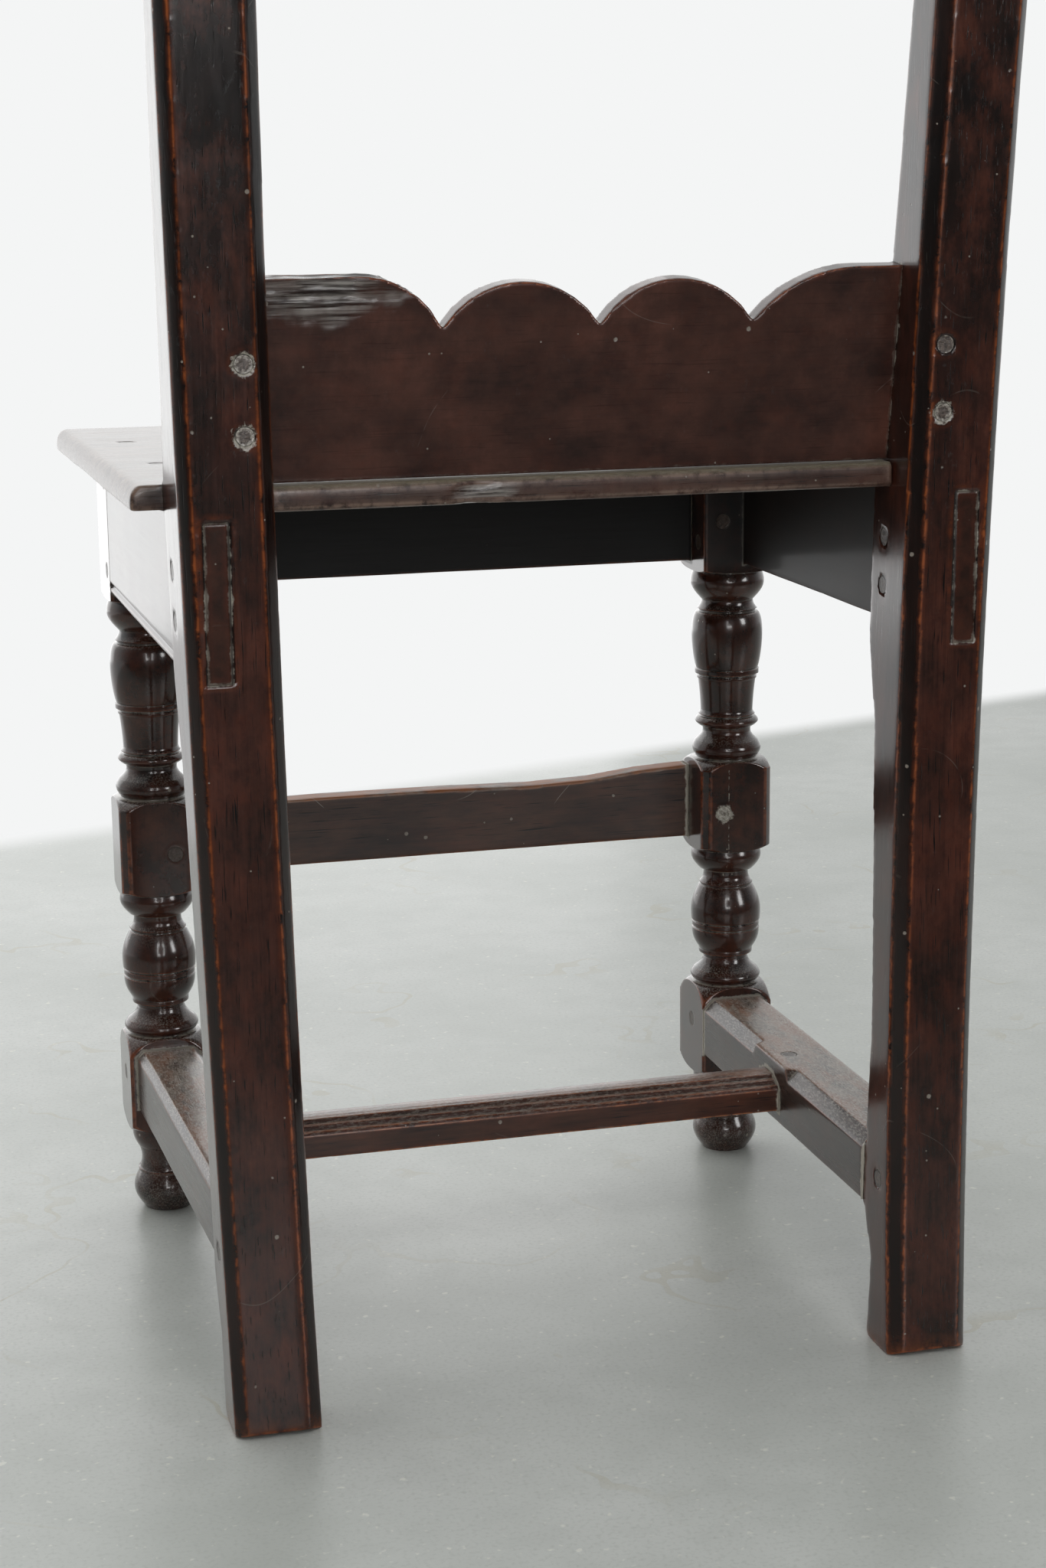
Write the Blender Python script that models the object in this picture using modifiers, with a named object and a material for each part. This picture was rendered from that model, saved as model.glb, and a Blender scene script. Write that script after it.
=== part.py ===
"""Provincial side chair: a joined and pegged plank-seat chair with turned front legs.

Every rail and stretcher has tenons that enter mortises in the posts and legs, and wooden
pegs cross each tenon. Units are metres, +Z is up, the chair faces -Y and +X is the sitter's
left. Sizes are written on the bench, where Y = 0 is the rear face of the back posts at the
floor. One empty then carries every piece to the middle of the chair's box.
"""
import math

import bmesh
import bpy
from mathutils import Matrix, Vector

MM = 0.001

# Fits
GAP = 0.3 * MM                    # clearance between two pieces that touch
CUT_PAST = 4 * MM                 # how far a cutter runs past the face it opens

# Seat
SEAT_HEIGHT = 458 * MM
SEAT_THICKNESS = 12.5 * MM
SEAT_OVERHANG = 19.5 * MM         # past the leg blocks, in front and at the sides
SEAT_TONGUE = 27.5 * MM           # how far the seat runs back between the posts
THUMB_RUN = 6 * MM               # thumb moulding, measured in from the edge
THUMB_DROP = 7.5 * MM             # thumb moulding, measured down from the top
SEAT_REAR_ROUND = 2 * MM

# Front frame
FRONT_WIDTH = 394.8 * MM          # outside the leg blocks
FRAME_DEPTH = 355.8 * MM          # front of the leg blocks to the rear of the back feet
LEG_BLOCK = 44.4 * MM
LEG_ARRIS = 0.8 * MM              # small chamfer on the square blank
BLOCK_CHAMFER = 4.5 * MM          # broad chamfer on the middle block
LEG_SIDES = 16                    # facets round a turning

# Levels of the square blocks on the front legs
TOP_BLOCK_DROP = 5.5 * MM         # below the seat rails
MIDDLE_BLOCK_MARGIN = 5.5 * MM    # above and below the front stretcher
LOWER_BLOCK_MARGIN = 6 * MM       # above the side stretchers
FOOT_HEIGHT = 51.5 * MM           # turned foot below the lower block
TOP_SHOULDER = 2 * MM             # how far each turned shoulder falls at the block's corner
MIDDLE_SHOULDER = 5.5 * MM
LOWER_SHOULDER = 8.5 * MM
FOOT_SHOULDER = 5 * MM

# Turned elements, each from top to bottom: shape, height, first, middle and last radius.
# The heights are drawn out together to fill the space between two blocks.
UPPER_TURNING = (
    ("bead", 18.0 * MM, 20.6 * MM, 21.9 * MM, 15.6 * MM),
    ("hollow", 5.5 * MM, 15.6 * MM, 16.2 * MM, 18.1 * MM),
    ("quirk", 1.5 * MM, 17.2 * MM, 17.2 * MM, 17.2 * MM),
    ("barrel", 35.0 * MM, 17.9 * MM, 22.2 * MM, 18.9 * MM),
    ("quirk", 3.0 * MM, 19.4 * MM, 19.4 * MM, 19.4 * MM),
    ("quirk", 1.5 * MM, 17.5 * MM, 17.5 * MM, 17.5 * MM),
    ("quirk", 1.5 * MM, 18.1 * MM, 18.1 * MM, 18.1 * MM),
    ("hollow", 19.5 * MM, 17.5 * MM, 16.4 * MM, 15.8 * MM),
    ("hollow", 2.7 * MM, 15.8 * MM, 16.2 * MM, 17.2 * MM),
    ("quirk", 1.2 * MM, 16.0 * MM, 16.0 * MM, 16.0 * MM),
    ("bead", 6.0 * MM, 17.2 * MM, 19.2 * MM, 16.2 * MM),
    ("hollow", 8.5 * MM, 15.0 * MM, 14.9 * MM, 18.5 * MM),
    ("bead", 10.0 * MM, 18.6 * MM, 20.9 * MM, 18.8 * MM),
    ("quirk", 1.0 * MM, 18.4 * MM, 18.4 * MM, 18.4 * MM),
)
LOWER_TURNING = (
    ("bead", 13.5 * MM, 20.4 * MM, 21.2 * MM, 16.4 * MM),
    ("quirk", 3.0 * MM, 13.8 * MM, 13.8 * MM, 13.8 * MM),
    ("hollow", 6.0 * MM, 13.8 * MM, 14.4 * MM, 16.5 * MM),
    ("quirk", 1.5 * MM, 15.8 * MM, 15.8 * MM, 15.8 * MM),
    ("barrel", 22.0 * MM, 16.6 * MM, 20.9 * MM, 21.2 * MM),
    ("quirk", 5.0 * MM, 20.6 * MM, 20.6 * MM, 20.6 * MM),
    ("barrel", 13.5 * MM, 20.8 * MM, 19.9 * MM, 16.2 * MM),
    ("quirk", 2.5 * MM, 16.5 * MM, 16.5 * MM, 16.5 * MM),
    ("quirk", 3.0 * MM, 13.6 * MM, 13.6 * MM, 13.6 * MM),
    ("hollow", 7.5 * MM, 13.8 * MM, 15.6 * MM, 19.8 * MM),
    ("bead", 7.0 * MM, 19.8 * MM, 21.6 * MM, 19.4 * MM),
    ("quirk", 0.5 * MM, 18.8 * MM, 18.8 * MM, 18.8 * MM),
)
FOOT_TURNING = (
    ("bead", 13.0 * MM, 19.0 * MM, 19.4 * MM, 16.8 * MM),
    ("hollow", 14.0 * MM, 16.4 * MM, 14.8 * MM, 16.0 * MM),
    ("quirk", 1.5 * MM, 16.9 * MM, 16.9 * MM, 16.9 * MM),
    ("barrel", 23.0 * MM, 16.2 * MM, 19.8 * MM, 14.0 * MM),
)
BEAD_STEPS = 4
HOLLOW_STEPS = 2
BARREL_STEPS = 5
QUIRK_STEPS = 1

# Seat rails
RAIL_HEIGHT = 75.5 * MM
RAIL_THICKNESS = 20 * MM
RAIL_BEAD = 6 * MM                # scratch bead along the lower outside edge
RAIL_QUIRK = 1.4 * MM             # groove beside that bead
TENON_THICKNESS = 11.5 * MM
TENON_SETBACK = 7 * MM            # from the rail's outside face
LEG_TENON = 23.5 * MM             # length of a seat rail's tenon in a leg

# Back posts, seen from the side and from the back
POST_HEIGHT = 950 * MM
POST_FOOT_INSET = 6.1 * MM        # at the floor, in from the outsides of the leg blocks
POST_SPLAY = 0.0223               # outward lean, as a slope
POST_FOOT_WIDTH = 43.2 * MM
POST_HEAD_WIDTH = 47.8 * MM
POST_BOW_RADIUS = 4130 * MM       # the rear faces follow one long arc
POST_BOW_LEVEL = 330 * MM         # level where that arc lies furthest forward
POST_FOOT_DEPTH = 34.5 * MM
POST_HEEL_DEPTH = 33 * MM         # cut back below the side stretcher
POST_HEEL_DROP = 27 * MM
POST_LOWER_FACE = 43.6 * MM       # front face at the side stretcher, from Y = 0
POST_WAIST_FACE = 41.8 * MM
POST_WAIST_RISE = 62 * MM
POST_THIGH_FACE = 51.5 * MM
POST_THIGH_DROP = 45 * MM
POST_KNEE_FACE = 61.8 * MM        # front face at the seat rails, from Y = 0
POST_KNEE_DROP = 4 * MM
POST_BACK_DEPTH = 46.5 * MM       # just above the seat
POST_MIDDLE_DEPTH = 38.5 * MM
POST_MIDDLE_RISE = 150 * MM
POST_HEAD_DEPTH = 32 * MM
POST_INNER_CHAMFER = 7.1 * MM
POST_OUTER_CHAMFER = 5.8 * MM
POST_FRONT_CHAMFER = 5.5 * MM
POST_END_CHAMFER = 2.6 * MM
POST_ARC_STEPS = 14

# Back rails
BACK_RAIL_THICKNESS = 12 * MM
BACK_RAIL_HEIGHT = 95.4 * MM
BACK_RAIL_LIFT = 1.3 * MM         # keeps its leaning lower edge off the seat
BACK_RAIL_INSET = 2.6 * MM        # behind the posts' front faces
BACK_TENON_THICKNESS = 7.5 * MM
BACK_TENON_LENGTH = 27 * MM
BACK_TENON_SHOULDER = 9 * MM      # above and below the tenon
CREST_DROP = 117 * MM             # lower edge of the crest rail, below the tops of the posts
NOTCH_PITCH = 76.8 * MM           # scalloped edge
NOTCH_SHIFT = -5.7 * MM           # set out a little off centre by hand
NOTCH_DEPTH = 25 * MM
ARCH_DROP = 4 * MM                # crowns of the arches below the flat ends
LEFT_ARCH_RUN = 40 * MM           # half arch at the sitter's left end
RIGHT_ARCH_RUN = 53 * MM
ARCH_STEPS = 12
HALF_ARCH_STEPS = 7

# Front stretcher
FRONT_STRETCHER_LEVEL = 199 * MM
FRONT_STRETCHER_HEIGHT = 45 * MM
FRONT_STRETCHER_THICKNESS = 15 * MM
FRONT_STRETCHER_SETBACK = 1 * MM
FRONT_STRETCHER_WEAR = 6.5 * MM   # worn hollow in its upper edge
FRONT_STRETCHER_TENON = 26 * MM
STRETCHER_TENON_THICKNESS = 9 * MM
STRETCHER_TENON_SHOULDER = 5 * MM

# Side stretchers
SIDE_STRETCHER_LEVEL = 67 * MM    # lower face at the leg
SIDE_STRETCHER_HEIGHT = 35.5 * MM
SIDE_STRETCHER_WIDTH = 40 * MM
SIDE_STRETCHER_RISE = 4.5 * MM    # towards the back post
SIDE_STRETCHER_TOE = 5 * MM       # towards the middle of the chair, at the back post
SIDE_STRETCHER_CHAMFER = 6.8 * MM
SIDE_STRETCHER_ARRIS = 4 * MM     # outside upper edge
SIDE_TENON_THICKNESS = 12 * MM
SIDE_TENON_LEG = 31 * MM
SIDE_TENON_POST = 28 * MM

# Medial stretcher
MEDIAL_WIDTH = 34 * MM
MEDIAL_EDGE = 13 * MM             # upright edge
MEDIAL_HEIGHT = 19.5 * MM
MEDIAL_TOP = 8 * MM               # flat along the middle of the upper face
MEDIAL_REEDS = 3                  # run mouldings between the edge and the flat
REED_SINK = 1 * MM
MEDIAL_LEVEL = 10 * MM            # above the side stretchers' lower faces at the leg
MEDIAL_CENTRE = 190 * MM          # forward of Y = 0
MEDIAL_TENON_LENGTH = 22 * MM
MEDIAL_TENON_WIDTH = 22 * MM
MEDIAL_TENON_THICKNESS = 10 * MM
CHAMFER_STOP = 8 * MM             # plain length left each side of the medial stretcher

# Pegs
PEG_DIAMETER = 9 * MM
SEAT_PEG_DIAMETER = 8 * MM
PEG_SIDES = 10
PEG_RECESS = 0.4 * MM             # ends lie just under the surface
PEG_BITE = 28 * MM                # seat pegs below the seat
POST_PEG_SPREAD = 12 * MM         # above and below the middle of a seat rail
LEG_FRONT_PEG_SPREAD = 12 * MM
LEG_SIDE_PEG_SPREAD = 25 * MM
POST_PEG_SETBACK = 16 * MM        # behind the knee's front face
LEG_PEG_SETBACK = 11.5 * MM       # inside a leg block's face
FRONT_STRETCHER_PEG_SETBACK = 13.3 * MM
BACK_PEG_SETBACK = 13.5 * MM      # outside a post's inner face
BACK_PEG_LOW = 24.5 * MM          # above a back rail's lower edge
BACK_PEG_HIGH = 57 * MM
SIDE_LEG_PEG_SETBACK = 21 * MM
SIDE_POST_PEG_SETBACK = 18 * MM
MEDIAL_PEG_SETBACK = 12 * MM
SEAT_PEG_FRONT = 110 * MM         # either side of the middle, in the front rail
SEAT_PEG_SETBACK = 8 * MM         # from a side rail's outside face
SEAT_PEG_FORE = 33.4 * MM         # behind the leg blocks, in the side rails
SEAT_PEG_AFT = 98.2 * MM          # in front of the back posts

# Levels and places that follow from the sizes above
SEAT_UNDERSIDE = SEAT_HEIGHT - SEAT_THICKNESS
RAIL_TOP = SEAT_UNDERSIDE - GAP
RAIL_BOTTOM = RAIL_TOP - RAIL_HEIGHT
RAIL_MIDDLE = RAIL_TOP - RAIL_HEIGHT / 2
LEG_X = FRONT_WIDTH / 2 - LEG_BLOCK / 2
LEG_Y = LEG_BLOCK / 2 - FRAME_DEPTH
LEG_FRONT_Y = LEG_Y - LEG_BLOCK / 2
LEG_REAR_Y = LEG_Y + LEG_BLOCK / 2
LEG_INNER_X = LEG_X - LEG_BLOCK / 2
TOP_BLOCK_END = RAIL_BOTTOM - TOP_BLOCK_DROP
FRONT_STRETCHER_TOP = FRONT_STRETCHER_LEVEL + FRONT_STRETCHER_HEIGHT
MIDDLE_BLOCK_TOP = FRONT_STRETCHER_TOP + MIDDLE_BLOCK_MARGIN
MIDDLE_BLOCK_END = FRONT_STRETCHER_LEVEL - MIDDLE_BLOCK_MARGIN
LOWER_BLOCK_TOP = SIDE_STRETCHER_LEVEL + SIDE_STRETCHER_HEIGHT + LOWER_BLOCK_MARGIN
BACK_RAIL_LEVEL = SEAT_HEIGHT + BACK_RAIL_LIFT
CREST_LEVEL = POST_HEIGHT - CREST_DROP
POST_FOOT_SPREAD = FRONT_WIDTH - 2 * POST_FOOT_INSET
SIDE_STRETCHER_X = FRONT_WIDTH / 2 - SIDE_STRETCHER_ARRIS - SIDE_STRETCHER_WIDTH / 2
SIDES = (("left", 1), ("right", -1))
ROUND_STEPS = {"bead": BEAD_STEPS, "hollow": HOLLOW_STEPS, "barrel": BARREL_STEPS,
               "quirk": QUIRK_STEPS}

WOOD_COLOURS = {
    "waxed_dark_oak": ((0.030, 0.014, 0.010), 0.32),
    "worn_seat_oak": ((0.045, 0.024, 0.018), 0.36),
    "riven_oak_peg": ((0.060, 0.038, 0.028), 0.55),
}


def clear_scene():
    """Empty the file and make one collection for the chair and one for its cutters."""
    for item in list(bpy.data.objects):
        bpy.data.objects.remove(item, do_unlink=True)
    made = []
    for name in ("provincial_side_chair", "cutters"):
        collection = bpy.data.collections.new(name)
        bpy.context.scene.collection.children.link(collection)
        made.append(collection)
    return made


CHAIR, CUTTERS = clear_scene()


def wood(name):
    """Return the plain material of one wood finish."""
    finish = bpy.data.materials.get(name)
    if finish is None:
        colour, roughness = WOOD_COLOURS[name]
        finish = bpy.data.materials.new(name)
        finish.use_nodes = True
        shader = finish.node_tree.nodes["Principled BSDF"]
        shader.inputs["Base Color"].default_value = (*colour, 1.0)
        shader.inputs["Roughness"].default_value = roughness
        shader.inputs["Metallic"].default_value = 0.0
    return finish


def add_part(name, mesh, finish):
    """Place a mesh in the chair as one named sub-part."""
    part = bpy.data.objects.new(name, mesh)
    mesh.materials.clear()
    mesh.materials.append(wood(finish))
    CHAIR.objects.link(part)
    return part


def add_cutter(name, shape):
    """Turn a bmesh into a wire object that only shapes other pieces."""
    bmesh.ops.recalc_face_normals(shape, faces=shape.faces)
    mesh = bpy.data.meshes.new(name)
    shape.to_mesh(mesh)
    shape.free()
    cutter = bpy.data.objects.new(name, mesh)
    cutter.hide_render = True
    cutter.display_type = "WIRE"
    CUTTERS.objects.link(cutter)
    return cutter


def apply_shape(part, cutter, operation):
    """Add an exact Boolean with one cutter to a part."""
    modifier = part.modifiers.new(cutter.name, "BOOLEAN")
    modifier.operation = operation
    modifier.solver = "EXACT"
    modifier.object = cutter


def cuboid(low, high, turn=None):
    """Describe a box by two corners and an optional matrix that places it."""
    return Vector(low), Vector(high), turn or Matrix.Identity(4)


def grown(block, margin):
    """Return a box made larger by a margin on every side."""
    low, high, turn = block
    more = Vector((margin, margin, margin))
    return low - more, high + more, turn


def boxes_cutter(name, blocks):
    """Make one cutter that holds several boxes."""
    shape = bmesh.new()
    for low, high, turn in blocks:
        size = high - low
        place = turn @ Matrix.Translation((low + high) / 2) @ Matrix.Diagonal((*size, 1.0))
        bmesh.ops.create_cube(shape, size=1.0, matrix=place)
    return add_cutter(name, shape)


def add_pin(shape, start, end, diameter):
    """Add a capped pin between two points to a bmesh."""
    run = Vector(end) - Vector(start)
    place = Matrix.Translation((Vector(start) + Vector(end)) / 2)
    turn = run.to_track_quat("Z", "Y").to_matrix().to_4x4()
    bmesh.ops.create_cone(shape, cap_ends=True, segments=PEG_SIDES, radius1=diameter / 2,
                          radius2=diameter / 2, depth=run.length, matrix=place @ turn)


def pin_holes(name, pegs, past):
    """Make one cutter with a clearance hole for each peg."""
    shape = bmesh.new()
    for peg in pegs:
        start, end = Vector(peg["start"]), Vector(peg["end"])
        along = (end - start).normalized()
        back = along * past
        front = along * (GAP if peg["blind"] else past)
        add_pin(shape, start - back, end + front, peg["diameter"] + 2 * GAP)
    return add_cutter(name, shape)


def plate_mesh(name, outline, thickness, place):
    """Extrude a flat outline with a filled 2D curve and return it as a welded mesh."""
    curve = bpy.data.curves.new(name, "CURVE")
    curve.dimensions = "2D"
    curve.fill_mode = "BOTH"
    curve.extrude = thickness / 2
    spline = curve.splines.new("POLY")
    spline.points.add(len(outline) - 1)
    for point, (x, y) in zip(spline.points, outline):
        point.co = (x, y, 0.0, 1.0)
    spline.use_cyclic_u = True
    drawing = bpy.data.objects.new(name, curve)
    bpy.context.scene.collection.objects.link(drawing)
    bpy.context.view_layer.update()
    seen = drawing.evaluated_get(bpy.context.evaluated_depsgraph_get())
    mesh = bpy.data.meshes.new_from_object(seen)
    bpy.data.objects.remove(drawing, do_unlink=True)
    shape = bmesh.new()
    shape.from_mesh(mesh)
    bmesh.ops.remove_doubles(shape, verts=shape.verts, dist=0.01 * MM)
    bmesh.ops.dissolve_limit(shape, angle_limit=math.radians(0.05), verts=shape.verts,
                             edges=shape.edges, delimit={"NORMAL"})
    bmesh.ops.transform(shape, matrix=place, verts=shape.verts)
    bmesh.ops.recalc_face_normals(shape, faces=shape.faces)
    shape.to_mesh(mesh)
    shape.free()
    return mesh


def along_x(centre=(0, 0, 0)):
    """Place a drawing so its width runs along Y, its height along Z and its extrusion along X."""
    turn = Matrix(((0, 0, 1, 0), (1, 0, 0, 0), (0, 1, 0, 0), (0, 0, 0, 1)))
    return Matrix.Translation(centre) @ turn


def along_y(centre=(0, 0, 0)):
    """Place a drawing so its width runs along X, its height along Z and its extrusion along Y."""
    turn = Matrix(((1, 0, 0, 0), (0, 0, -1, 0), (0, 1, 0, 0), (0, 0, 0, 1)))
    return Matrix.Translation(centre) @ turn


def soften(part, width, edge_weights):
    """Chamfer chosen edges. The weight of each edge is a share of the widest chamfer."""
    layer = part.data.attributes.new("bevel_weight_edge", "FLOAT", "EDGE")
    for edge in part.data.edges:
        ends = [part.data.vertices[i].co for i in edge.vertices]
        layer.data[edge.index].value = edge_weights(*ends)
    bevel = part.modifiers.new("chamfers", "BEVEL")
    bevel.limit_method = "WEIGHT"
    bevel.width = width
    bevel.segments = 1


# Back posts
def post_rear(level):
    """Y of a post's rear face: one long arc from the floor to the top."""
    def sag(height):
        return math.sqrt(POST_BOW_RADIUS ** 2 - (height - POST_BOW_LEVEL) ** 2)
    return sag(0.0) - sag(level)


def post_front_stations():
    """Points of a post's front edge, from the floor to the top, as (Y, Z)."""
    stretcher_low = SIDE_STRETCHER_LEVEL + SIDE_STRETCHER_RISE - 2 * GAP
    stretcher_high = stretcher_low + SIDE_STRETCHER_HEIGHT + 4 * GAP
    heel = stretcher_low - POST_HEEL_DROP
    waist = stretcher_high + POST_WAIST_RISE
    thigh = RAIL_BOTTOM - POST_THIGH_DROP
    knee = RAIL_BOTTOM - POST_KNEE_DROP
    middle = BACK_RAIL_LEVEL + BACK_RAIL_HEIGHT + POST_MIDDLE_RISE
    above = SEAT_HEIGHT + POST_KNEE_FACE - POST_BACK_DEPTH
    return [
        (-POST_FOOT_DEPTH, 0.0),
        (-POST_HEEL_DEPTH, heel),
        (-POST_LOWER_FACE, stretcher_low),
        (-POST_LOWER_FACE, stretcher_high),
        (-POST_WAIST_FACE, waist),
        (-POST_THIGH_FACE, thigh),
        (-POST_KNEE_FACE, knee),
        (-POST_KNEE_FACE, SEAT_HEIGHT),
        (post_rear(above) - POST_BACK_DEPTH, above),
        (post_rear(middle) - POST_MIDDLE_DEPTH, middle),
        (post_rear(POST_HEIGHT) - POST_HEAD_DEPTH, POST_HEIGHT),
    ]


FRONT_STATIONS = post_front_stations()


def post_front(level):
    """Y of a post's front face at a level, read between its stations."""
    for (y0, z0), (y1, z1) in zip(FRONT_STATIONS, FRONT_STATIONS[1:]):
        if z0 <= level <= z1:
            return y0 + (y1 - y0) * (level - z0) / (z1 - z0)
    return FRONT_STATIONS[-1][0]


def post_outer(level):
    """X of the left post's outside face at a level."""
    return POST_FOOT_SPREAD / 2 + POST_SPLAY * level


def post_width(level):
    """Width of a post from side to side at a level."""
    return POST_FOOT_WIDTH + (POST_HEAD_WIDTH - POST_FOOT_WIDTH) * level / POST_HEIGHT


def post_inner(level):
    """X of the left post's inside face at a level."""
    return post_outer(level) - post_width(level)


def post_edge_weight(first, second):
    """Chamfer weight of an edge of a post's blank, whose X runs from 0 inside to 1 outside."""
    if abs(first.x - second.x) > 0.5:
        ends = (0.0, POST_HEIGHT)
        at_end = any(abs(first.z - z) < GAP and abs(second.z - z) < GAP for z in ends)
        return POST_END_CHAMFER / POST_INNER_CHAMFER if at_end else 0.0
    at_rear = all(abs(p.y - post_rear(p.z)) < GAP for p in (first, second))
    if at_rear:
        return 1.0 if first.x < 0.5 else POST_OUTER_CHAMFER / POST_INNER_CHAMFER
    above_seat = min(first.z, second.z) > FRONT_STATIONS[-3][1] - GAP
    at_front = all(abs(p.y - post_front(p.z)) < GAP for p in (first, second))
    return POST_FRONT_CHAMFER / POST_INNER_CHAMFER if above_seat and at_front else 0.0


def make_post(side_name, side):
    """A bowed, splayed post sawn from a plank, with its long arrises chamfered."""
    levels = [POST_HEIGHT * i / POST_ARC_STEPS for i in range(POST_ARC_STEPS + 1)]
    outline = [(post_rear(z), z) for z in levels] + FRONT_STATIONS[::-1]
    mesh = plate_mesh("rear_post", outline, 1.0, along_x((0.5, 0, 0)))
    post = add_part(f"rear_post_{side_name}", mesh, "waxed_dark_oak")
    weights = [post_edge_weight(*(mesh.vertices[i].co.copy() for i in edge.vertices))
               for edge in mesh.edges]
    for vertex in mesh.vertices:
        level = vertex.co.z
        vertex.co.x = side * (post_inner(level) + vertex.co.x * post_width(level))
    if side < 0:
        mesh.flip_normals()
    layer = mesh.attributes.new("bevel_weight_edge", "FLOAT", "EDGE")
    layer.data.foreach_set("value", weights)
    bevel = post.modifiers.new("chamfers", "BEVEL")
    bevel.limit_method = "WEIGHT"
    bevel.width = POST_INNER_CHAMFER
    bevel.segments = 1
    bevel.use_clamp_overlap = False      # the clamp would narrow every chamfer to the arc's short steps
    return post


# Front legs
def turned_element(shape, top, height, first, middle, last):
    """Points of one turned element, from its top to its bottom, as (radius, Z)."""
    points = []
    steps = ROUND_STEPS[shape]
    for i in range(steps + 1):
        share = i / steps
        edge = first + (last - first) * share
        bulge = middle - (first + last) / 2
        swell = math.sin(math.pi * share)
        points.append((edge + bulge * swell, top - height * share))
    return points


def turned_run(elements, top, bottom):
    """Points of a row of turned elements drawn out to fill the space between two levels."""
    draw = (top - bottom) / sum(element[1] for element in elements)
    points = []
    level = top
    for shape, height, first, middle, last in elements:
        for point in turned_element(shape, level, height * draw, first, middle, last):
            if not points or math.dist(point, points[-1]) > GAP:
                points.append(point)
        level -= height * draw
    return points


def block_run(top, bottom, top_fall, bottom_fall):
    """Points past a square block: its shoulders fall away towards the corners."""
    start = LEG_BLOCK * 0.45
    reach = LEG_BLOCK / math.sqrt(2) - start
    shares = (0.4, 0.7, 1.0, 1.3)
    upper = [(start + reach * s, top - top_fall * s * s) for s in shares]
    lower = [(start + reach * s, bottom + bottom_fall * s * s) for s in reversed(shares)]
    return (upper if top_fall else [(start + reach * shares[-1], top)]) + lower


def leg_profile():
    """The whole turned outline of a front leg, from the axis at the top to the axis below."""
    points = [(0.0, RAIL_TOP)]
    points += block_run(RAIL_TOP, TOP_BLOCK_END, 0.0, TOP_SHOULDER)
    points += turned_run(UPPER_TURNING, TOP_BLOCK_END, MIDDLE_BLOCK_TOP)
    points += block_run(MIDDLE_BLOCK_TOP, MIDDLE_BLOCK_END, MIDDLE_SHOULDER, MIDDLE_SHOULDER)
    points += turned_run(LOWER_TURNING, MIDDLE_BLOCK_END, LOWER_BLOCK_TOP)
    points += block_run(LOWER_BLOCK_TOP, FOOT_HEIGHT, LOWER_SHOULDER, FOOT_SHOULDER)
    points += turned_run(FOOT_TURNING, FOOT_HEIGHT, 0.0)
    points.append((0.0, 0.0))
    return points


def make_leg(side_name, side):
    """A leg turned from a square blank: the lathe outline is cut out of the blank."""
    profile = leg_profile()
    mesh = bpy.data.meshes.new("front_leg")
    edges = [(i, i + 1) for i in range(len(profile) - 1)]
    mesh.from_pydata([(radius, 0.0, z) for radius, z in profile], edges, [])
    leg = add_part(f"front_leg_{side_name}", mesh, "waxed_dark_oak")
    leg.location = (side * LEG_X, LEG_Y, 0.0)
    screw = leg.modifiers.new("turning", "SCREW")
    screw.axis = "Z"
    screw.steps = LEG_SIDES
    screw.render_steps = LEG_SIDES
    screw.use_merge_vertices = True
    screw.merge_threshold = 0.01 * MM
    screw.use_smooth_shade = True

    half = LEG_BLOCK / 2
    blank = boxes_cutter(f"leg_blank_{side_name}",
                         [cuboid((-half, -half, -CUT_PAST), (half, half, RAIL_TOP + CUT_PAST))])
    blank.location = leg.location
    arris = blank.modifiers.new("arris", "BEVEL")
    arris.width = LEG_ARRIS
    arris.segments = 1
    apply_shape(leg, blank, "INTERSECT")

    reach = half * math.sqrt(2) - BLOCK_CHAMFER / math.sqrt(2)
    low, high = MIDDLE_BLOCK_END - CUT_PAST, MIDDLE_BLOCK_TOP + CUT_PAST
    corners = [cuboid((reach, -half, low), (reach + half, half, high),
                      Matrix.Rotation(math.radians(45 + 90 * i), 4, "Z")) for i in range(4)]
    chamfers = boxes_cutter(f"block_chamfers_{side_name}", corners)
    chamfers.location = leg.location
    apply_shape(leg, chamfers, "DIFFERENCE")
    return leg


# Rails, stretchers and seat
def rail_section():
    """Seat rail seen on end: width from the outside face inwards, and a bead below."""
    bead = [(RAIL_BEAD / 2 * (1 - math.cos(a)), RAIL_BEAD / 2 * (1 + math.sin(a)))
            for a in (math.radians(d) for d in (60, 15, -30, -90))]
    shelf = RAIL_BEAD + RAIL_QUIRK
    return [(0.0, RAIL_HEIGHT), (0.0, shelf), (RAIL_QUIRK, RAIL_BEAD + RAIL_QUIRK / 2)] + bead + [
        (RAIL_THICKNESS, 0.0), (RAIL_THICKNESS, RAIL_HEIGHT)]


def make_front_rail():
    """Front seat rail between the leg blocks, flush with their front faces."""
    length = 2 * (LEG_INNER_X - GAP)
    outline = [(LEG_FRONT_Y + d, RAIL_BOTTOM + h) for d, h in rail_section()]
    rail = add_part("front_seat_rail", plate_mesh("front_seat_rail", outline, length, along_x()),
                    "waxed_dark_oak")
    near = LEG_FRONT_Y + TENON_SETBACK
    tenons = []
    for _, side in SIDES:
        ends = sorted((side * (LEG_INNER_X - CUT_PAST), side * (LEG_INNER_X + LEG_TENON)))
        tenons.append(cuboid((ends[0], near, RAIL_BOTTOM + GAP),
                             (ends[1], near + TENON_THICKNESS, RAIL_TOP - GAP)))
    apply_shape(rail, boxes_cutter("front_rail_tenons", tenons), "UNION")
    return rail, dict(zip(("left", "right"), tenons))


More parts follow.
